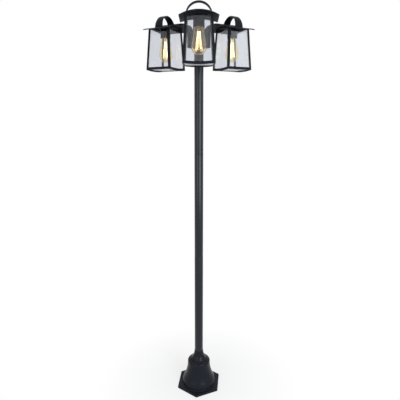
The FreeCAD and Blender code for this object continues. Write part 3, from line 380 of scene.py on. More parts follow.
def make_materials(finish):
    """All the finishes. The record's slots give most of their keys."""
    fine = {"base": finish.coat, "specks": finish.coat_light, "grain": 1400.0, "depth": 0.0003}
    coarse = {"base": finish.cast, "specks": finish.coat_light, "grain": 900.0, "depth": 0.0006}
    drawn = {"grain": 14.0, "detail": 1.0, "strength": 0.05, "depth": 0.002}
    frost = {"grain": 1800.0, "detail": 3.0, "strength": 0.25, "depth": 0.0002}
    zinc_tones = (0.46, 0.47, 0.49), (0.62, 0.63, 0.64)
    glaze_tones = (0.74, 0.71, 0.64), (0.8, 0.78, 0.72)
    cap_tones = (0.62, 0.61, 0.58), (0.78, 0.77, 0.74)
    MATERIALS.update(
        body_paint=powder_coat("body_paint", **fine, gloss=0.3),
        lantern_paint=powder_coat("lantern_paint", **fine, gloss=0.1, matt=0.24),
        cast_paint=powder_coat("cast_paint", **coarse, gloss=0.1),
        zinc_steel=mottled("zinc_plate", 260.0, *zinc_tones, (0.3, 0.45)),
        clear_glass=glass("clear_glass", finish.glass, **drawn),
        satin_glass=glass("satin_glass", finish.satin, **frost, through=0.72, roughness=0.45),
        socket_ceramic=mottled("glazed_ceramic", 420.0, *glaze_tones, (0.28,), metallic=0.0),
        cap_metal=mottled("cap_metal", 700.0, *cap_tones, (0.2, 0.34)),
        bulb_glass=glass("bulb_glass", finish.amber, **drawn, glow=0.015),
        stem_glass=glass("stem_glass", (0.96, 0.95, 0.92), **drawn),
        filament=glowing_wire(finish.glow, strength=6.0),
    )


class LAMP_OT_finishes(bpy.types.Operator):
    """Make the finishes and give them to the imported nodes"""

    bl_idname = "lamp_post.finishes"
    bl_label = "Finishes"

    def execute(self, context):
        make_materials(context.scene.lamp_finish)
        for part in frame["record"]["subparts"]:
            node = frame["nodes"][part["node"]]
            node.data.materials.clear()
            node.data.materials.append(MATERIALS[part["material_slot"]])
        return {"FINISHED"}


# Drawing


def verts_of(geometry):
    """The vertices among what an operator made."""
    return [item for item in geometry if isinstance(item, bmesh.types.BMVert)]


def edges_of(geometry):
    """The edges among what an operator made."""
    return [item for item in geometry if isinstance(item, bmesh.types.BMEdge)]


def face_outwards(bm):
    """Turn the faces of closed shapes outwards, or those of a sheet to one side."""
    bmesh.ops.recalc_face_normals(bm, faces=bm.faces[:])


def sag_height(radius, across):
    """How far an arc of a radius falls below its top, off its middle."""
    return radius - math.sqrt(radius * radius - across * across)


def bow_radius(half, rise):
    """Radius of an arc from half its width and its rise."""
    return (half * half + rise * rise) / (2.0 * rise)


class Line:
    """A line drawn point by point in the XZ plane, to be spun or extruded."""

    def __init__(self, x, z):
        self.bm = bmesh.new()
        self.first = self.last = self.bm.verts.new((x, 0.0, z))

    def to(self, x, z):
        """A straight run to a point."""
        point = self.bm.verts.new((x, 0.0, z))
        self.bm.edges.new((self.last, point))
        self.last = point
        return self

    def arc(self, x, z, radius, left=True, steps=8):
        """An arc to a point, with its centre on the left or the right of the way there."""
        start = Vector((self.last.co.x, self.last.co.z))
        half = (Vector((x, z)) - start) / 2
        side = 1.0 if left else -1.0
        reach = math.sqrt(max(radius * radius - half.length_squared, 0.0))
        centre = start + half + Vector((-half.y, half.x)).normalized() * reach * side
        turn = 2.0 * math.asin(min(1.0, half.length / radius)) * side
        swept = bmesh.ops.spin(
            self.bm, geom=[self.last], cent=(centre.x, 0.0, centre.y), axis=(0.0, -1.0, 0.0),
            angle=turn, steps=steps
        )
        self.last = verts_of(swept["geom_last"])[0]
        return self

    def closed(self):
        """Join the end to the start."""
        self.bm.edges.new((self.last, self.first))
        return self


def spun(line, sides=SIDES_TUBE):
    """The line turned once round the Z axis."""
    bm = line.bm
    bmesh.ops.spin(
        bm, geom=bm.verts[:] + bm.edges[:], cent=(0.0, 0.0, 0.0), axis=(0.0, 0.0, 1.0),
        angle=FULL_TURN, steps=sides, use_merge=True
    )
    bmesh.ops.remove_doubles(bm, verts=bm.verts[:], dist=MM / 1000)
    bmesh.ops.dissolve_degenerate(bm, edges=bm.edges[:], dist=MM / 1000)
    face_outwards(bm)
    return bm


def bevelled(bm, parts, width, segments=2, affect="EDGES"):
    """Round some edges, or the corners of a sheet."""
    bmesh.ops.bevel(
        bm, geom=parts, offset=width, offset_type="OFFSET", segments=segments, profile=0.5,
        affect=affect, material=-1, clamp_overlap=True
    )


def sharp_edges(bm, angle=0.7):
    """The edges whose faces meet at more than an angle."""
    return [edge for edge in bm.edges if edge.is_manifold and edge.calc_face_angle() > angle]


def moved(x=0.0, y=0.0, z=0.0):
    """A shift."""
    return Matrix.Translation((x, y, z))


def stamp(bm, part, places):
    """Add copies of another shape at some places, and use it up."""
    for place in places:
        mesh = bpy.data.meshes.new("stamp")
        part.to_mesh(mesh)
        mesh.transform(place)
        bm.from_mesh(mesh)
        bpy.data.meshes.remove(mesh)
    part.free()
    return bm


def ring_loop(bm, sides, radius, turn=0.0, cuts=0, z=0.0):
    """A circle or polygon of edges about the Z axis, each side cut into more."""
    made = bmesh.ops.create_circle(bm, segments=sides, radius=radius)["verts"]
    bmesh.ops.transform(bm, matrix=moved(z=z) @ Matrix.Rotation(turn, 4, "Z"), verts=made)
    edges = list(dict.fromkeys(edge for vert in made for edge in vert.link_edges))
    if cuts:
        cut = bmesh.ops.subdivide_edges(bm, edges=edges, cuts=cuts)
        edges = list(dict.fromkeys(edges_of(cut["geom"])))
    return edges


def raised(bm, height):
    """A flat sheet given a height along Z, above its first faces."""
    made = bmesh.ops.extrude_face_region(bm, geom=bm.faces[:], use_keep_orig=True)["geom"]
    bmesh.ops.translate(bm, verts=verts_of(made), vec=(0.0, 0.0, height))
    face_outwards(bm)
    bm.normal_update()


def thickened(bm, thickness, away):
    """A bent sheet given its thickness behind the side that looks away, as told for a place."""
    face_outwards(bm)
    if sum(face.normal.dot(away(face.calc_center_median())) for face in bm.faces) < 0.0:
        bmesh.ops.reverse_faces(bm, faces=bm.faces[:])
    bmesh.ops.solidify(bm, geom=bm.faces[:], thickness=thickness)
    bm.normal_update()


def hexagon_socket(bm, radius, depth):
    """A hexagon socket let into the round opening of a shape."""
    opening = [edge for edge in bm.edges if edge.is_boundary]
    mouth = ring_loop(bm, 6, radius, cuts=3, z=opening[0].verts[0].co.z)
    bmesh.ops.bridge_loops(bm, edges=opening + mouth)
    deep = bmesh.ops.extrude_edge_only(bm, edges=mouth)["geom"]
    bmesh.ops.translate(bm, verts=verts_of(deep), vec=(0.0, 0.0, -depth))
    bmesh.ops.edgeloop_fill(bm, edges=edges_of(deep))
    face_outwards(bm)


def head_matrix(head):
    """Place of a lantern: about its own axis, at its turn round the pole."""
    x, y = middle("nipple_" + head, 0), middle("nipple_" + head, 1)
    return moved(x, y) @ Matrix.Rotation(math.atan2(x, -y), 4, "Z")


def head_turn(head):
    """Turn of a lantern round the pole."""
    return Matrix.Rotation(head_matrix(head).to_euler().z, 4, "Z")


def new_object(name, data):
    """An object of the scene, with its mesh, lamp or lens."""
    made = bpy.data.objects.new(name, data)
    bpy.context.scene.collection.objects.link(made)
    return made


def mesh_object(name, bm):
    """A shape as an object of the scene."""
    mesh = bpy.data.meshes.new(name)
    bm.to_mesh(mesh)
    bm.free()
    return new_object(name, mesh)


def add_piece(name, bm, slot, nodes, body=POST, angle=0.6, finish=None):
    """Put a finished shape into the scene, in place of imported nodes."""
    for face in bm.faces:
        face.smooth = True
    piece = mesh_object(name, bm)
    piece.data.set_sharp_from_angle(angle=angle)
    piece.data.materials.append(MATERIALS[finish or slot])
    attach(piece, body)
    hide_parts(*nodes)


def add_to_head(head, name, bm, slot, node, body=POST, finish=None):
    """Add a shape that is modelled about a lantern's own axis, at its place."""
    bmesh.ops.transform(bm, matrix=head_matrix(head), verts=bm.verts[:])
    add_piece(f"{name}_{head}", bm, slot, [f"{node}_{head}"], body, finish=finish)


# Foot


def foot_plate(foot):
    """Hexagonal foot plate with rounded edges, open in the middle."""
    bm = bmesh.new()
    outer = ring_loop(bm, 6, foot.corner_radius, foot.turn, cuts=15)
    inner = ring_loop(bm, SIDES_TUBE, foot.bell_radius - foot.wall / 2, foot.turn)
    bmesh.ops.bridge_loops(bm, edges=outer + inner)
    raised(bm, foot.plate)
    sharp = sharp_edges(bm, angle=0.9)
    corners = [edge for edge in sharp if abs(edge.verts[0].co.z - edge.verts[1].co.z) > MM]
    bevelled(bm, corners, foot.plate_edge, segments=4)
    top, clear = foot.plate - MM / 10, foot.bell_radius + 5 * MM
    rim = []
    for edge in sharp_edges(bm, angle=0.9):
        if all(vert.co.z > top and vert.co.xy.length > clear for vert in edge.verts):
            rim.append(edge)
    bevelled(bm, rim, foot.plate_edge, segments=4)
    face_outwards(bm)
    return bm


def bell(foot, pole_radius):
    """Hollow bell: flared curve, waist, rounded shoulder, sloping top and the collar's seat."""
    plate, wall, flare, waist = foot.plate, foot.wall, foot.flare, foot.waist
    mouth = foot.bell_radius - wall
    centre = foot.bell_radius - flare
    waist_z = plate + foot.curve_rise
    shoulder_z = waist_z + foot.band
    # The hollow of the curve touches the flare and ends upright at the waist.
    run = waist - centre
    hollow = (run * run + foot.curve_rise**2 - flare**2) / (2.0 * (flare - run))
    across = (run + hollow) / (hollow + flare)
    up = foot.curve_rise / (hollow + flare)
    fillet_x = centre + math.sqrt((flare + foot.fillet) ** 2 - foot.fillet**2)
    touch = flare / (flare + foot.fillet)
    neck = waist - foot.shoulder_run
    top = shoulder_z + foot.shoulder_rise
    crown = top + foot.crown_rise
    edge = high("base_collar")[0] + foot.seat_gap
    seat = low("base_collar")[2]
    shell = Line(mouth, MM / 2).to(fillet_x - MM, MM / 2)
    shell.to(fillet_x, plate - MM / 2).to(fillet_x, plate)
    touch_x, touch_z = centre + (fillet_x - centre) * touch, plate + foot.fillet * touch
    shell.arc(touch_x, touch_z, foot.fillet, left=False, steps=6)
    shell.arc(centre + flare * across, plate + flare * up, flare, steps=16)
    shell.arc(waist, waist_z, hollow, left=False, steps=24).to(waist, shoulder_z)
    shell.arc(neck, top, foot.shoulder_bend, steps=8).to(edge + MM / 2, crown - MM / 4)
    shell.arc(edge, crown - 3 * MM / 4, MM, steps=3).to(edge, seat)
    # The inside follows at the wall's thickness.
    shell.to(pole_radius, seat).to(pole_radius, seat - wall).to(neck, seat - wall)
    shell.arc(waist - wall, shoulder_z, foot.inner_bend, left=False, steps=4)
    shell.to(waist - wall, waist_z)
    inner = flare - wall
    shell.arc(centre + inner * across, plate + inner * up, hollow + wall, steps=12)
    shell.arc(mouth, plate, inner, left=False, steps=6)
    return spun(shell.closed(), SIDES_FOOT)


def collar(foot, pole_radius):
    """Collar with an upright rim and a hollow curve up to the pole."""
    radius = high("base_collar")[0]
    seat, top = ends("base_collar")
    neck = pole_radius + foot.neck_wall
    rim = seat + foot.rim
    # The curve ends level with the pole's side, so its centre is at the collar's top.
    curve = bow_radius(top - rim, radius - neck)
    soft = 0.6 * MM
    shape = Line(pole_radius, seat).to(radius, seat).to(radius, rim - soft)
    shape.arc(radius - soft, rim + soft / 3, 1.1 * soft, steps=4)
    shape.arc(neck, top - soft, curve, left=False, steps=28)
    shape.arc(neck - soft, top, soft, steps=3).to(pole_radius, top)
    return spun(shape.closed(), SIDES_FOOT)


def grub_screws(foot):
    """Three grub screws with hexagon sockets, level with each other round the collar."""
    radius = foot.grub
    out = low("base_lock_screws")[1]
    height = low("base_collar")[2] + foot.grub_rise
    end = out + high("pole_lower")[0]
    mouth, chamfer, tip, key = 0.72 * radius, 0.9 * radius, 0.7 * radius, 0.52 * radius
    shape = Line(mouth, 0.0).to(chamfer, 0.0).arc(radius, -MM / 4, MM / 3, left=False, steps=3)
    shape.to(radius, end + MM / 2).to(tip, end).to(0.0, end)
    screw = spun(shape, SIDES_SCREW)
    hexagon_socket(screw, key, 1.2 * MM)
    turns = [Matrix.Rotation(index * FULL_TURN / 3, 4, "Z") for index in range(3)]
    return stamp(bmesh.new(), screw, [turn @ moved(y=out, z=height) @ LYING for turn in turns])


class LAMP_OT_foot(bpy.types.Operator):
    """Make the foot plate, the bell, the collar and its screws"""

    bl_idname = "lamp_post.foot"
    bl_label = "Foot"

    def execute(self, context):
        foot = context.scene.lamp_foot
        bore = high("pole_lower")[0] + MM / 10
        add_piece("foot_plate", foot_plate(foot), "cast_paint", ["base_casting"])
        add_piece("bell", bell(foot, bore), "cast_paint", ["base_casting"])
        add_piece("collar", collar(foot, bore), "cast_paint", ["base_collar"])
        add_piece("collar_screws", grub_screws(foot), "cast_paint", ["base_lock_screws"])
        return {"FINISHED"}


# Pole


def tube(node, pole):
    """A pole tube with rounded ends."""
    radius, soft = high(node)[0], pole.end_round
    bore = radius - pole.wall
    below, above = ends(node)
    shape = Line(bore, below).to(radius - soft, below)
    shape.arc(radius, below + soft, soft, steps=4).to(radius, above - soft)
    shape.arc(radius - soft, above, soft, steps=4).to(bore, above)
    return spun(shape.closed())


def hub(pole):
    """Hub sleeve with a flat boss for each arm."""
    radius, hole = pole.hub_radius, pole.hub_hole
    bore = high("pole_upper")[0] + MM / 10
    below, above = ends("head_hub")
    ceiling = high("pole_upper")[2]
    shape = Line(bore, below).to(radius - MM, below).arc(radius, below + MM, MM, steps=3)
    shape.to(radius, above).to(hole, above).to(hole, ceiling).to(bore, ceiling)
    bm = spun(shape.closed())
    # A boss starts inside the sleeve's wall and ends in its flat face.
    root = 0.74 * radius
    boss = bmesh.new()
    made = bmesh.ops.create_grid(boss, x_segments=2, y_segments=2, size=0.5)["verts"]
    bmesh.ops.scale(boss, vec=(pole.boss_width, pole.boss_height, 1.0), verts=made)
    raised(boss, pole.boss_reach - root)
    bevelled(boss, sharp_edges(boss), 1.5 * MM, segments=3)
    place = moved(y=-root, z=above - pole.boss_drop - pole.boss_height / 2) @ LYING
    return stamp(bm, boss, [head_turn(head) @ place for head in HEADS])


def hub_cap(pole):
    """Low domed cap with a short skirt."""
    radius = high("hub_cap")[0]
    below, above = ends("hub_cap")
    edge = below + pole.cap_skirt
    dome = bow_radius(radius, above - edge)
    shape = Line(0.0, below).to(radius, below).to(radius, edge - MM / 3)
    shape.arc(radius - MM / 3, edge + MM / 9, MM / 2, steps=3).arc(0.0, above, dome, steps=20)
    return spun(shape)


def button_screw(pole):
    """Button head screw with a hexagon socket, its head's underside at nought."""
    head, end = pole.screw_head, -pole.screw_length
    shank, flat, key = 0.545 * head, 0.5 * head, 0.36 * head
    shape = Line(flat, pole.screw_dome).arc(head, MM / 2, 1.02 * head, left=False, steps=8)
    shape.to(head, 0.0).to(shank, 0.0).to(shank, end + MM / 2).to(shank - MM / 2, end)
    screw = spun(shape.to(0.0, end), SIDES_SCREW)
    hexagon_socket(screw, key, 1.6 * MM)
    return screw


def arm_screws(pole, lantern):
    """Two screws through each arm into its boss."""
    face = pole.boss_reach + lantern.arm_thickness
    upper = high("head_hub")[2] - pole.boss_drop - pole.screw_margin
    lower = upper - pole.boss_height + 2 * pole.screw_margin
    pair = [moved(y=-face, z=height) @ LYING for height in (upper, lower)]
    places = [head_turn(head) @ place for head in HEADS for place in pair]
    return stamp(bmesh.new(), button_screw(pole), places)


def tube_nuts(pole):
    """A chamfered hexagon nut on each lantern's threaded tube."""
    nut = bmesh.new()
    outer = ring_loop(nut, 6, pole.nut, cuts=3)
    bore = ring_loop(nut, SIDES_SCREW, pole.nut_bore)
    bmesh.ops.bridge_loops(nut, edges=outer + bore)
    raised(nut, pole.nut_height)
    bevelled(nut, sharp_edges(nut, angle=0.9), MM / 2)
    place = moved(z=high("nipple_nuts")[2] - pole.nut_height)
    return stamp(bmesh.new(), nut, [head_matrix(head) @ place for head in HEADS])


class LAMP_OT_pole(bpy.types.Operator):
    """Make the pole tubes, the hub and its cap, the arm screws and the nuts"""

    bl_idname = "lamp_post.pole"
    bl_label = "Pole and hub"

    def execute(self, context):
        pole, lantern = context.scene.lamp_pole, context.scene.lamp_lantern
        for node in ("pole_lower", "pole_middle", "pole_upper"):
            add_piece(node.replace("pole", "tube"), tube(node, pole), "body_paint", [node])
        add_piece("hub", hub(pole), "cast_paint", ["head_hub"])
        add_piece("hub_dome", hub_cap(pole), "cast_paint", ["hub_cap"])
        screws, nuts = arm_screws(pole, lantern), tube_nuts(pole)
        add_piece("button_screws", screws, "zinc_steel", ["arm_screws"], angle=0.5)
        add_piece("hexagon_nuts", nuts, "zinc_steel", ["nipple_nuts"], angle=0.5)
        return {"FINISHED"}


# Lanterns


def vault(lantern, across):
    """Height of the roof's underside, off the middle."""
    crown = low("roof_front")[2] + lantern.roof_rise
    return crown - sag_height(bow_radius(lantern.roof_half, lantern.roof_rise), across)


def frame_bottom(lantern):
    """Height of the frame's lower corners."""
    return low("lantern_frame_front")[2] + lantern.dip


def half_width(lantern, height):
    """Half width of the tapered frame at a height."""
    taper = (lantern.half_bottom - lantern.half_top) / lantern.height
    return lantern.half_bottom - taper * (height - frame_bottom(lantern))


def frame_side(lantern, curved):
    """One side of the frame: two posts and two rails, on the -Y side, curved or straight."""
    columns, rows = 26, 3
    bm = bmesh.new()
    bmesh.ops.create_grid(bm, x_segments=columns, y_segments=rows, size=1.0)
    window = []
    for face in bm.faces:
        centre = face.calc_center_median()
        if abs(centre.x) < 1.0 - 2 / columns and abs(centre.y) < 1 / rows:
            window.append(face)
    bmesh.ops.delete(bm, geom=window, context="FACES")
    bottom, rail, head_rail = frame_bottom(lantern), lantern.rail, lantern.head_rail
    corner = half_width(lantern, bottom)
    dip = bow_radius(lantern.half_bottom, lantern.dip)
    # The posts end where the tapered corner meets the roof, found in two steps.
    top = vault(lantern, half_width(lantern, vault(lantern, lantern.half_top)))
    for vert in bm.verts:
        column = round((vert.co.x + 1.0) * columns / 2)
        row = round((vert.co.y + 1.0) * rows / 2)
        height = (bottom, bottom + rail, top - head_rail, top)[row]
        half = half_width(lantern, height)
        if column in (0, columns):
            x = math.copysign(half, column - 1)
        else:
            x = (half - lantern.post) * ((column - 1) / (columns - 2) * 2.0 - 1.0)
        if curved and row > 1:
            height = vault(lantern, abs(x)) - (head_rail if row == 2 else 0.0)
        elif curved and abs(x) < corner:
            height -= lantern.dip - sag_height(dip, abs(x))
        vert.co = (x, -half_width(lantern, height), height)
    return bm


def lantern_frame(lantern):
    """Four sides joined at their corners and thickened, and the ledge of the bottom pane."""
    bm = bmesh.new()
    for quarter in range(4):
        side = frame_side(lantern, curved=quarter % 2 == 0)
        stamp(bm, side, [Matrix.Rotation(quarter * QUARTER_TURN, 4, "Z")])
    bmesh.ops.remove_doubles(bm, verts=bm.verts[:], dist=MM / 5)
    thickened(bm, lantern.wall, lambda place: Vector((place.x, place.y, 0.0)))
    ledge = bmesh.new()
    bottom, wall = frame_bottom(lantern), lantern.wall
    half = half_width(lantern, bottom)
    loops = []
    # The ledge starts a little inside the metal, and reaches its lip's width past it.
    for reach in (half - 0.8 * wall, half - wall - lantern.lip):
        loops += ring_loop(ledge, 4, reach * math.sqrt(2.0), math.pi / 4)
    bmesh.ops.bridge_loops(ledge, edges=loops)
    raised(ledge, lantern.ledge)
    return stamp(bm, ledge, [moved(z=bottom)])


def roof(lantern):
    """Sheet vaulted across and bowed at its front and back edges."""
    bm = bmesh.new()
    bmesh.ops.create_grid(bm, x_segments=48, y_segments=16, size=1.0)
    bow = bow_radius(lantern.roof_half, lantern.roof_bulge)
    for vert in bm.verts:
        x = vert.co.x * lantern.roof_half
        edge = lantern.roof_depth + lantern.roof_bulge - sag_height(bow, x)
        vert.co = (x, vert.co.y * edge, vault(lantern, x))
    raised(bm, lantern.sheet)
    bevelled(bm, sharp_edges(bm), 0.7 * MM, segments=3)
    return bm


def loop(lantern):
    """Flat strip bent to a half circle, narrower towards its top."""
    radius = lantern.loop_radius
    below, top = ends("loop_handle_front")
    foot, centre = below + MM / 2, top - radius
    line = Line(radius, foot).to(radius, centre).arc(0.0, top, radius, steps=28)
    bm = line.arc(-radius, centre, radius, steps=28).to(-radius, foot).bm
    first = bm.verts[:]
    second = verts_of(bmesh.ops.extrude_edge_only(bm, edges=bm.edges[:])["geom"])
    for side, verts in ((-1.0, first), (1.0, second)):
        for vert in verts:
            share = max(0.0, (vert.co.z - centre) / radius)
            width = lantern.loop_foot + (lantern.loop_top - lantern.loop_foot) * share
            vert.co.y = side * width / 2
    thickened(bm, lantern.loop_thickness, lambda place: place - Vector((0.0, 0.0, centre)))
    bevelled(bm, sharp_edges(bm), 0.7 * MM, segments=3)
    return bm


def arm(lantern):
    """Flat strap from the roof to the pole, bent down at its inner end, with rounded corners."""
    lowest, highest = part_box("strap_arm_front")
    half, bend, top = highest[0], lantern.arm_bend, highest[2]
    axis = middle("nipple_front", 1)
    end, leg = lowest[1] - axis, highest[1] - axis
    line = Line(end, top).to(end + 2 * half, top).to(leg - bend, top)
    bm = line.arc(leg, top - bend, bend, left=False, steps=20).to(leg, lowest[2]).bm
    place = moved(x=-half) @ Matrix.Rotation(QUARTER_TURN, 4, "Z")
    bmesh.ops.transform(bm, matrix=place, verts=bm.verts[:])
    second = verts_of(bmesh.ops.extrude_edge_only(bm, edges=bm.edges[:])["geom"])
    bmesh.ops.translate(bm, verts=second, vec=(2 * half, 0.0, 0.0))
    corners = [vert for vert in bm.verts if abs(vert.co.y - end) < MM / 10]
    bevelled(bm, corners, lantern.arm_corner, segments=8, affect="VERTICES")
    thickened(bm, lantern.arm_thickness, lambda _: Vector((0.0, 0.0, 1.0)))
    bevelled(bm, sharp_edges(bm), 0.6 * MM)
    return bm


def lamp_cup(lantern):
    """Lampholder cup with a beaded lower edge, a rounded top and its spacer."""
    wall, bead, bend = lantern.cup_wall, lantern.cup_bead, lantern.cup_bend
    spacer, hole = lantern.cup_spacer, lantern.cup_hole
    radius = half_across("lampholder_front") - bead
    below = low("lampholder_front")[2]
    bead_top = below + lantern.cup_bead_height
    top = vault(lantern, 0.0) - lantern.cup_drop
    contact = vault(lantern, spacer)
    shape = Line(radius - wall, below).to(radius + bead - MM / 2, below)
    shape.arc(radius + bead, below + MM / 2, MM / 2, steps=3).to(radius + bead, bead_top - bead)
    shape.arc(radius, bead_top, bead, steps=4).to(radius, top - bend)
    shape.arc(radius - bend, top, bend, steps=8).to(spacer, top).to(spacer, contact)
    shape.to(hole, contact).to(hole, top - wall).to(radius - bend, top - wall)
    shape.arc(radius - wall, top - bend, bend - wall, left=False, steps=6)
    return spun(shape.closed())


def insulator(bulb):
    """Ceramic insulator with the screw socket."""
    radius, socket = half_across("socket_insert_front"), bulb.socket
    below, above = ends("socket_insert_front")
    ceiling = above - bulb.socket_crown
    shape = Line(0.0, ceiling).to(socket, ceiling).to(socket, below + MM)
    shape.arc(socket + MM, below, MM, steps=4).to(radius - MM, below)
    shape.arc(radius, below + MM, MM, steps=4).to(radius, above - MM)
    shape.arc(radius - MM, above, MM, steps=4).to(0.0, above)
    return spun(shape, SIDES_SOCKET)


class LAMP_OT_lanterns(bpy.types.Operator):
    """Make the frame, roof, loop, arm and lampholder of each lantern"""

    bl_idname = "lamp_post.lanterns"
    bl_label = "Lanterns"

    def execute(self, context):
        lantern, bulb = context.scene.lamp_lantern, context.scene.lamp_bulb
        painted = (
            ("frame", lantern_frame, "lantern_frame"),
            ("vaulted_roof", roof, "roof"),
            ("loop", loop, "loop_handle"),
            ("arm", arm, "strap_arm"),
            ("lamp_cup", lamp_cup, "lampholder"),
        )
        for head in HEADS:
            for name, shape, node in painted:
                bm = shape(lantern)
                add_to_head(head, name, bm, "body_paint", node, finish="lantern_paint")
            add_to_head(head, "insulator", insulator(bulb), "socket_ceramic", "socket_insert")
        return {"FINISHED"}


# Bulbs


def screw_cap(bulb):
    """Rolled screw cap with its thread, and the contact on top."""
    contact, inner = bulb.contact, bulb.cap - bulb.thread
    below, top = ends("bulb_cap_front")
    above = top - bulb.contact_height
    skirt, shoulder = MM, 2 * MM
    # The thread leaves 5 mm of the cap plain, a skirt below and the rest above.
    pitch = (above - below - 5 * MM) / bulb.threads
    groove = pitch * pitch / (8 * bulb.thread) + bulb.thread / 2
    shape = Line(0.0, below).to(inner, below).to(inner, below + skirt)
    for turn in range(bulb.threads):
        shape.arc(inner, below + skirt + (turn + 1) * pitch, groove, steps=6)
    shape.to(inner, above - shoulder).to(bulb.cap - shoulder, above).to(contact + 2 * MM, above)
    shape.arc(contact, above + MM, 1.6 * MM, left=False, steps=4).to(contact, top - MM)
    shape.arc(contact - MM, top, MM, steps=4).to(0.0, top)
    return spun(shape, SIDES_SOCKET)


def bulb_shell(bulb):
    """Blown teardrop bulb with a wall, open at the cap."""
    radius, wall = half_across("bulb_glass_front"), bulb.glass
    inner = radius - wall
    centre = low("bulb_glass_front")[2] + radius
    mouth = low("bulb_cap_front")[2]
    neck_z, bend = mouth - bulb.neck_turn, bulb.neck_bend
    out, up = math.cos(bulb.shoulder), math.sin(bulb.shoulder)
    shape = Line(0.0, centre - radius)
    shape.arc(radius * out, centre + radius * up, radius, steps=36)
    shape.to(bulb.neck, neck_z).arc(bulb.cap, mouth, bend, steps=8).to(bulb.cap - wall, mouth)
    shape.arc(bulb.neck - wall, neck_z, bend - wall, left=False, steps=8)
    shape.to(inner * out, centre + inner * up)
    shape.arc(0.0, centre - inner, inner, left=False, steps=36)
    return spun(shape)


def wire_run(points, radius):
    """Round wire through points, as a shape."""
    curve = bpy.data.curves.new("wire", "CURVE")
    curve.dimensions, curve.use_fill_caps = "3D", True
    curve.bevel_depth, curve.bevel_resolution = radius, 1
    spline = curve.splines.new("POLY")
    spline.points.add(len(points) - 1)
    for point, place in zip(spline.points, points):
        point.co = (*place, 1.0)
    holder = bpy.data.objects.new("wire", curve)
    mesh = bpy.data.meshes.new_from_object(holder)
    bm = bmesh.new()
    bm.from_mesh(mesh)
    bpy.data.objects.remove(holder)
    bpy.data.meshes.remove(mesh)
    bpy.data.curves.remove(curve)
    return bm


def hairpin_filament(bulb):
    """Hairpin wires in a cage that widens downwards, every other one shorter and nearer in."""
    upper = low("bulb_cap_front")[2] - bulb.filament_drop
    lower = upper - bulb.filament_length
    top_hook = bulb.filament_top, upper
    wide_hook = bulb.filament_bottom, lower
    near_hook = 0.55 * bulb.filament_bottom, lower + 5 * MM
    hooks = (top_hook, near_hook, top_hook, wide_hook)
    steps = 2 * bulb.hairpins
    points = []
    for step in range(steps):
        turn = FULL_TURN * step / steps
        reach, height = hooks[step % len(hooks)]
        points.append((reach * math.cos(turn), reach * math.sin(turn), height))
    return wire_run(points, bulb.wire)


def glass_stem(bulb):
    """Glass rod with its flared foot in the neck, and the two wire spiders."""
    mouth, rod = low("bulb_cap_front")[2], bulb.stem
    upper = mouth - bulb.filament_drop
    lower = upper - 0.9 * bulb.filament_length
    tip = lower - MM
    shape = Line(0.0, mouth).to(6 * MM, mouth).arc(2 * rod, mouth - 16 * MM, 50 * MM, steps=10)
    shape.arc(rod, mouth - 24 * MM, 30 * MM, steps=6).to(rod, tip)
    bm = spun(shape.arc(0.0, tip - rod, rod, left=False, steps=5), SIDES_SCREW)
    for height, reach in ((upper, bulb.filament_top), (lower, 0.9 * bulb.filament_bottom)):
        for spoke in range(bulb.hairpins):
            turn = FULL_TURN * spoke / bulb.hairpins
            out, side = math.cos(turn), math.sin(turn)
            # Each spoke starts inside the rod, short of its axis.
            run = [(out * far, side * far, height) for far in (0.8 * rod, reach)]
            stamp(bm, wire_run(run, 0.8 * bulb.wire), [moved()])
    return bm


class LAMP_OT_bulbs(bpy.types.Operator):
    """Make the cap, glass, rod and filament of each bulb"""

    bl_idname = "lamp_post.bulbs"
    bl_label = "Bulbs"

    def execute(self, context):
        bulb = context.scene.lamp_bulb
        pieces = (
            ("screw_cap", screw_cap, "cap_metal", "bulb_cap", None),
            ("shell", bulb_shell, "bulb_glass", "bulb_glass", None),
            ("hairpins", hairpin_filament, "filament", "bulb_filament", None),
            ("stem", glass_stem, "bulb_glass", "bulb_filament", "stem_glass"),
        )
        for head in HEADS:
            for name, shape, slot, node, finish in pieces:
                add_to_head(head, name, shape(bulb), slot, node, "bulb_" + head, finish)
        return {"FINISHED"}


# Stage


def seen_directly(near):
    """One where a ray shows the background: seen by the camera, in gloss or through glass."""
    rays = add_node(near, "ShaderNodeLightPath").outputs
    seen = rays["Is Camera Ray"]
    for other in ("Is Glossy Ray", "Is Transmission Ray"):
        either = add_node(near, "ShaderNodeMath", operation="MAXIMUM")
        link(seen, either.inputs[0])
        link(rays[other], either.inputs[1])
        seen = either.outputs[0]
    return seen


def make_floor(stage):
    """White floor: lit near the post, where it keeps the shadow, and plain white further off."""
    bm = bmesh.new()
    bmesh.ops.create_grid(bm, x_segments=1, y_segments=1, size=stage.floor_size / 2)
    floor = mesh_object("floor", bm)
    material = bpy.data.materials.new("floor_white")
    material.use_nodes = True
    nodes = material.node_tree.nodes
    nodes.remove(nodes["Principled BSDF"])
    surface = nodes["Material Output"].inputs["Surface"]
    place = add_node(surface, "ShaderNodeTexCoord")
    distance = add_node(surface, "ShaderNodeVectorMath", operation="LENGTH")
    link(place.outputs["Object"], distance.inputs[0])
    plain = mapped(distance.outputs["Value"], wanted=(0.72, 1.0), given=(0.15, 0.55))
    lit = add_node(surface, "ShaderNodeBsdfDiffuse", Color=(0.9, 0.9, 0.9, 1.0)).outputs[0]
    white = add_node(surface, "ShaderNodeEmission", Color=WHITE, Strength=1.0).outputs[0]
    link(mixed(seen_directly(surface), lit, mixed(plain, lit, white)), surface)
    floor.data.materials.append(material)


def make_world(stage):
    """Even light, and white where the background is seen."""
    world = bpy.data.worlds.new("studio")
    bpy.context.scene.world = world
    world.use_nodes = True
    nodes = world.node_tree.nodes
    even = nodes["Background"]
    set_inputs(even, {"Color": WHITE, "Strength": stage.world_light})
    white = add_node(even, "ShaderNodeBackground", Color=WHITE, Strength=1.0)
    surface = mixed(seen_directly(even), even.outputs[0], white.outputs[0])
    link(surface, nodes["World Output"].inputs["Surface"])


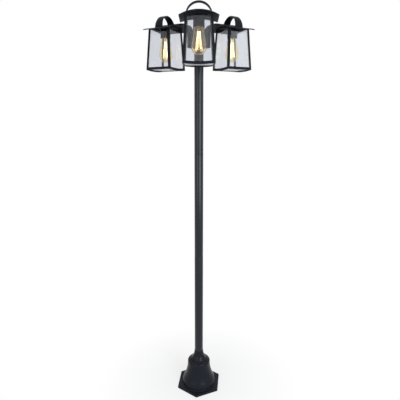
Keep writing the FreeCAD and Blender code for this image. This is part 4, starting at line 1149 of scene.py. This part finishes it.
def add_lamps(stage):
    """Three softboxes, each wide by high, that face the pole's axis at a height."""
    for name, place, aim, size, power in (
        ("key", (-1.4, -1.9, 1.3), 1.25, (1.5, 1.5), stage.key_light),
        ("fill", (2.3, -0.9, 2.4), 1.2, (1.2, 1.2), stage.fill_light),
        ("side", (1.0, -1.65, 1.25), 1.25, (0.9, 1.4), stage.side_light),
    ):
        lamp = bpy.data.lights.new(name, "AREA")
        lamp.shape = "RECTANGLE"
        lamp.size, lamp.size_y = size
        lamp.energy, lamp.color = power, stage.lamp_colour
        box = new_object(name, lamp)
        box.location = place
        look = Vector((0.0, 0.0, aim)) - Vector(place)
        box.rotation_euler = look.to_track_quat("-Z", "Y").to_euler()


def make_camera(stage):
    """Camera at the photograph's place, tilted down a little."""
    lens = bpy.data.cameras.new("camera")
    lens.sensor_width, lens.lens = 36.0, stage.focal
    lens.shift_x, lens.shift_y = stage.shift_x, stage.shift_y
    camera = new_object("camera", lens)
    camera.location = stage.camera
    camera.rotation_euler = (QUARTER_TURN - stage.pitch, 0.0, 0.0)
    bpy.context.scene.camera = camera


class LAMP_OT_stage(bpy.types.Operator):
    """Make the floor, the light and the camera"""

    bl_idname = "lamp_post.stage"
    bl_label = "Stage"

    def execute(self, context):
        stage = context.scene.lamp_stage
        make_floor(stage)
        make_world(stage)
        add_lamps(stage)
        make_camera(stage)
        context.scene.view_settings.view_transform = "Standard"
        return {"FINISHED"}


class LAMP_PT_panel(bpy.types.Panel):
    """Sidebar list of the steps and their sizes"""

    bl_label = "Lamp Post"
    bl_idname = "LAMP_PT_panel"
    bl_space_type = "VIEW_3D"
    bl_region_type = "UI"
    bl_category = "Lamp Post"

    def draw(self, context):
        for step in STEPS:
            self.layout.operator(step.bl_idname)
        for group in GROUPS:
            settings = getattr(context.scene, group)
            box = self.layout.box()
            for name in settings.__annotations__:
                box.prop(settings, name)


GROUPS = {
    "lamp_finish": LampFinish,
    "lamp_foot": LampFoot,
    "lamp_pole": LampPole,
    "lamp_lantern": LampLantern,
    "lamp_bulb": LampBulb,
    "lamp_stage": LampStage,
}
MAKE = (LAMP_OT_foot, LAMP_OT_pole, LAMP_OT_lanterns, LAMP_OT_bulbs)
STEPS = (LAMP_OT_finishes, *MAKE, LAMP_OT_stage)


def register():
    """Register the property groups, the steps and the panel."""
    for name, group in GROUPS.items():
        bpy.utils.register_class(group)
        setattr(bpy.types.Scene, name, PointerProperty(type=group))
    for step in STEPS:
        bpy.utils.register_class(step)
    bpy.utils.register_class(LAMP_PT_panel)


def unregister():
    """Take them away again."""
    bpy.utils.unregister_class(LAMP_PT_panel)
    for step in reversed(STEPS):
        bpy.utils.unregister_class(step)
    for name, group in GROUPS.items():
        delattr(bpy.types.Scene, name)
        bpy.utils.unregister_class(group)


def main():
    """Register, then run every step."""
    register()
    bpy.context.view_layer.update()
    for step in STEPS:
        space, name = step.bl_idname.split(".")
        getattr(getattr(bpy.ops, space), name)()


if __name__ == "__main__":
    main()
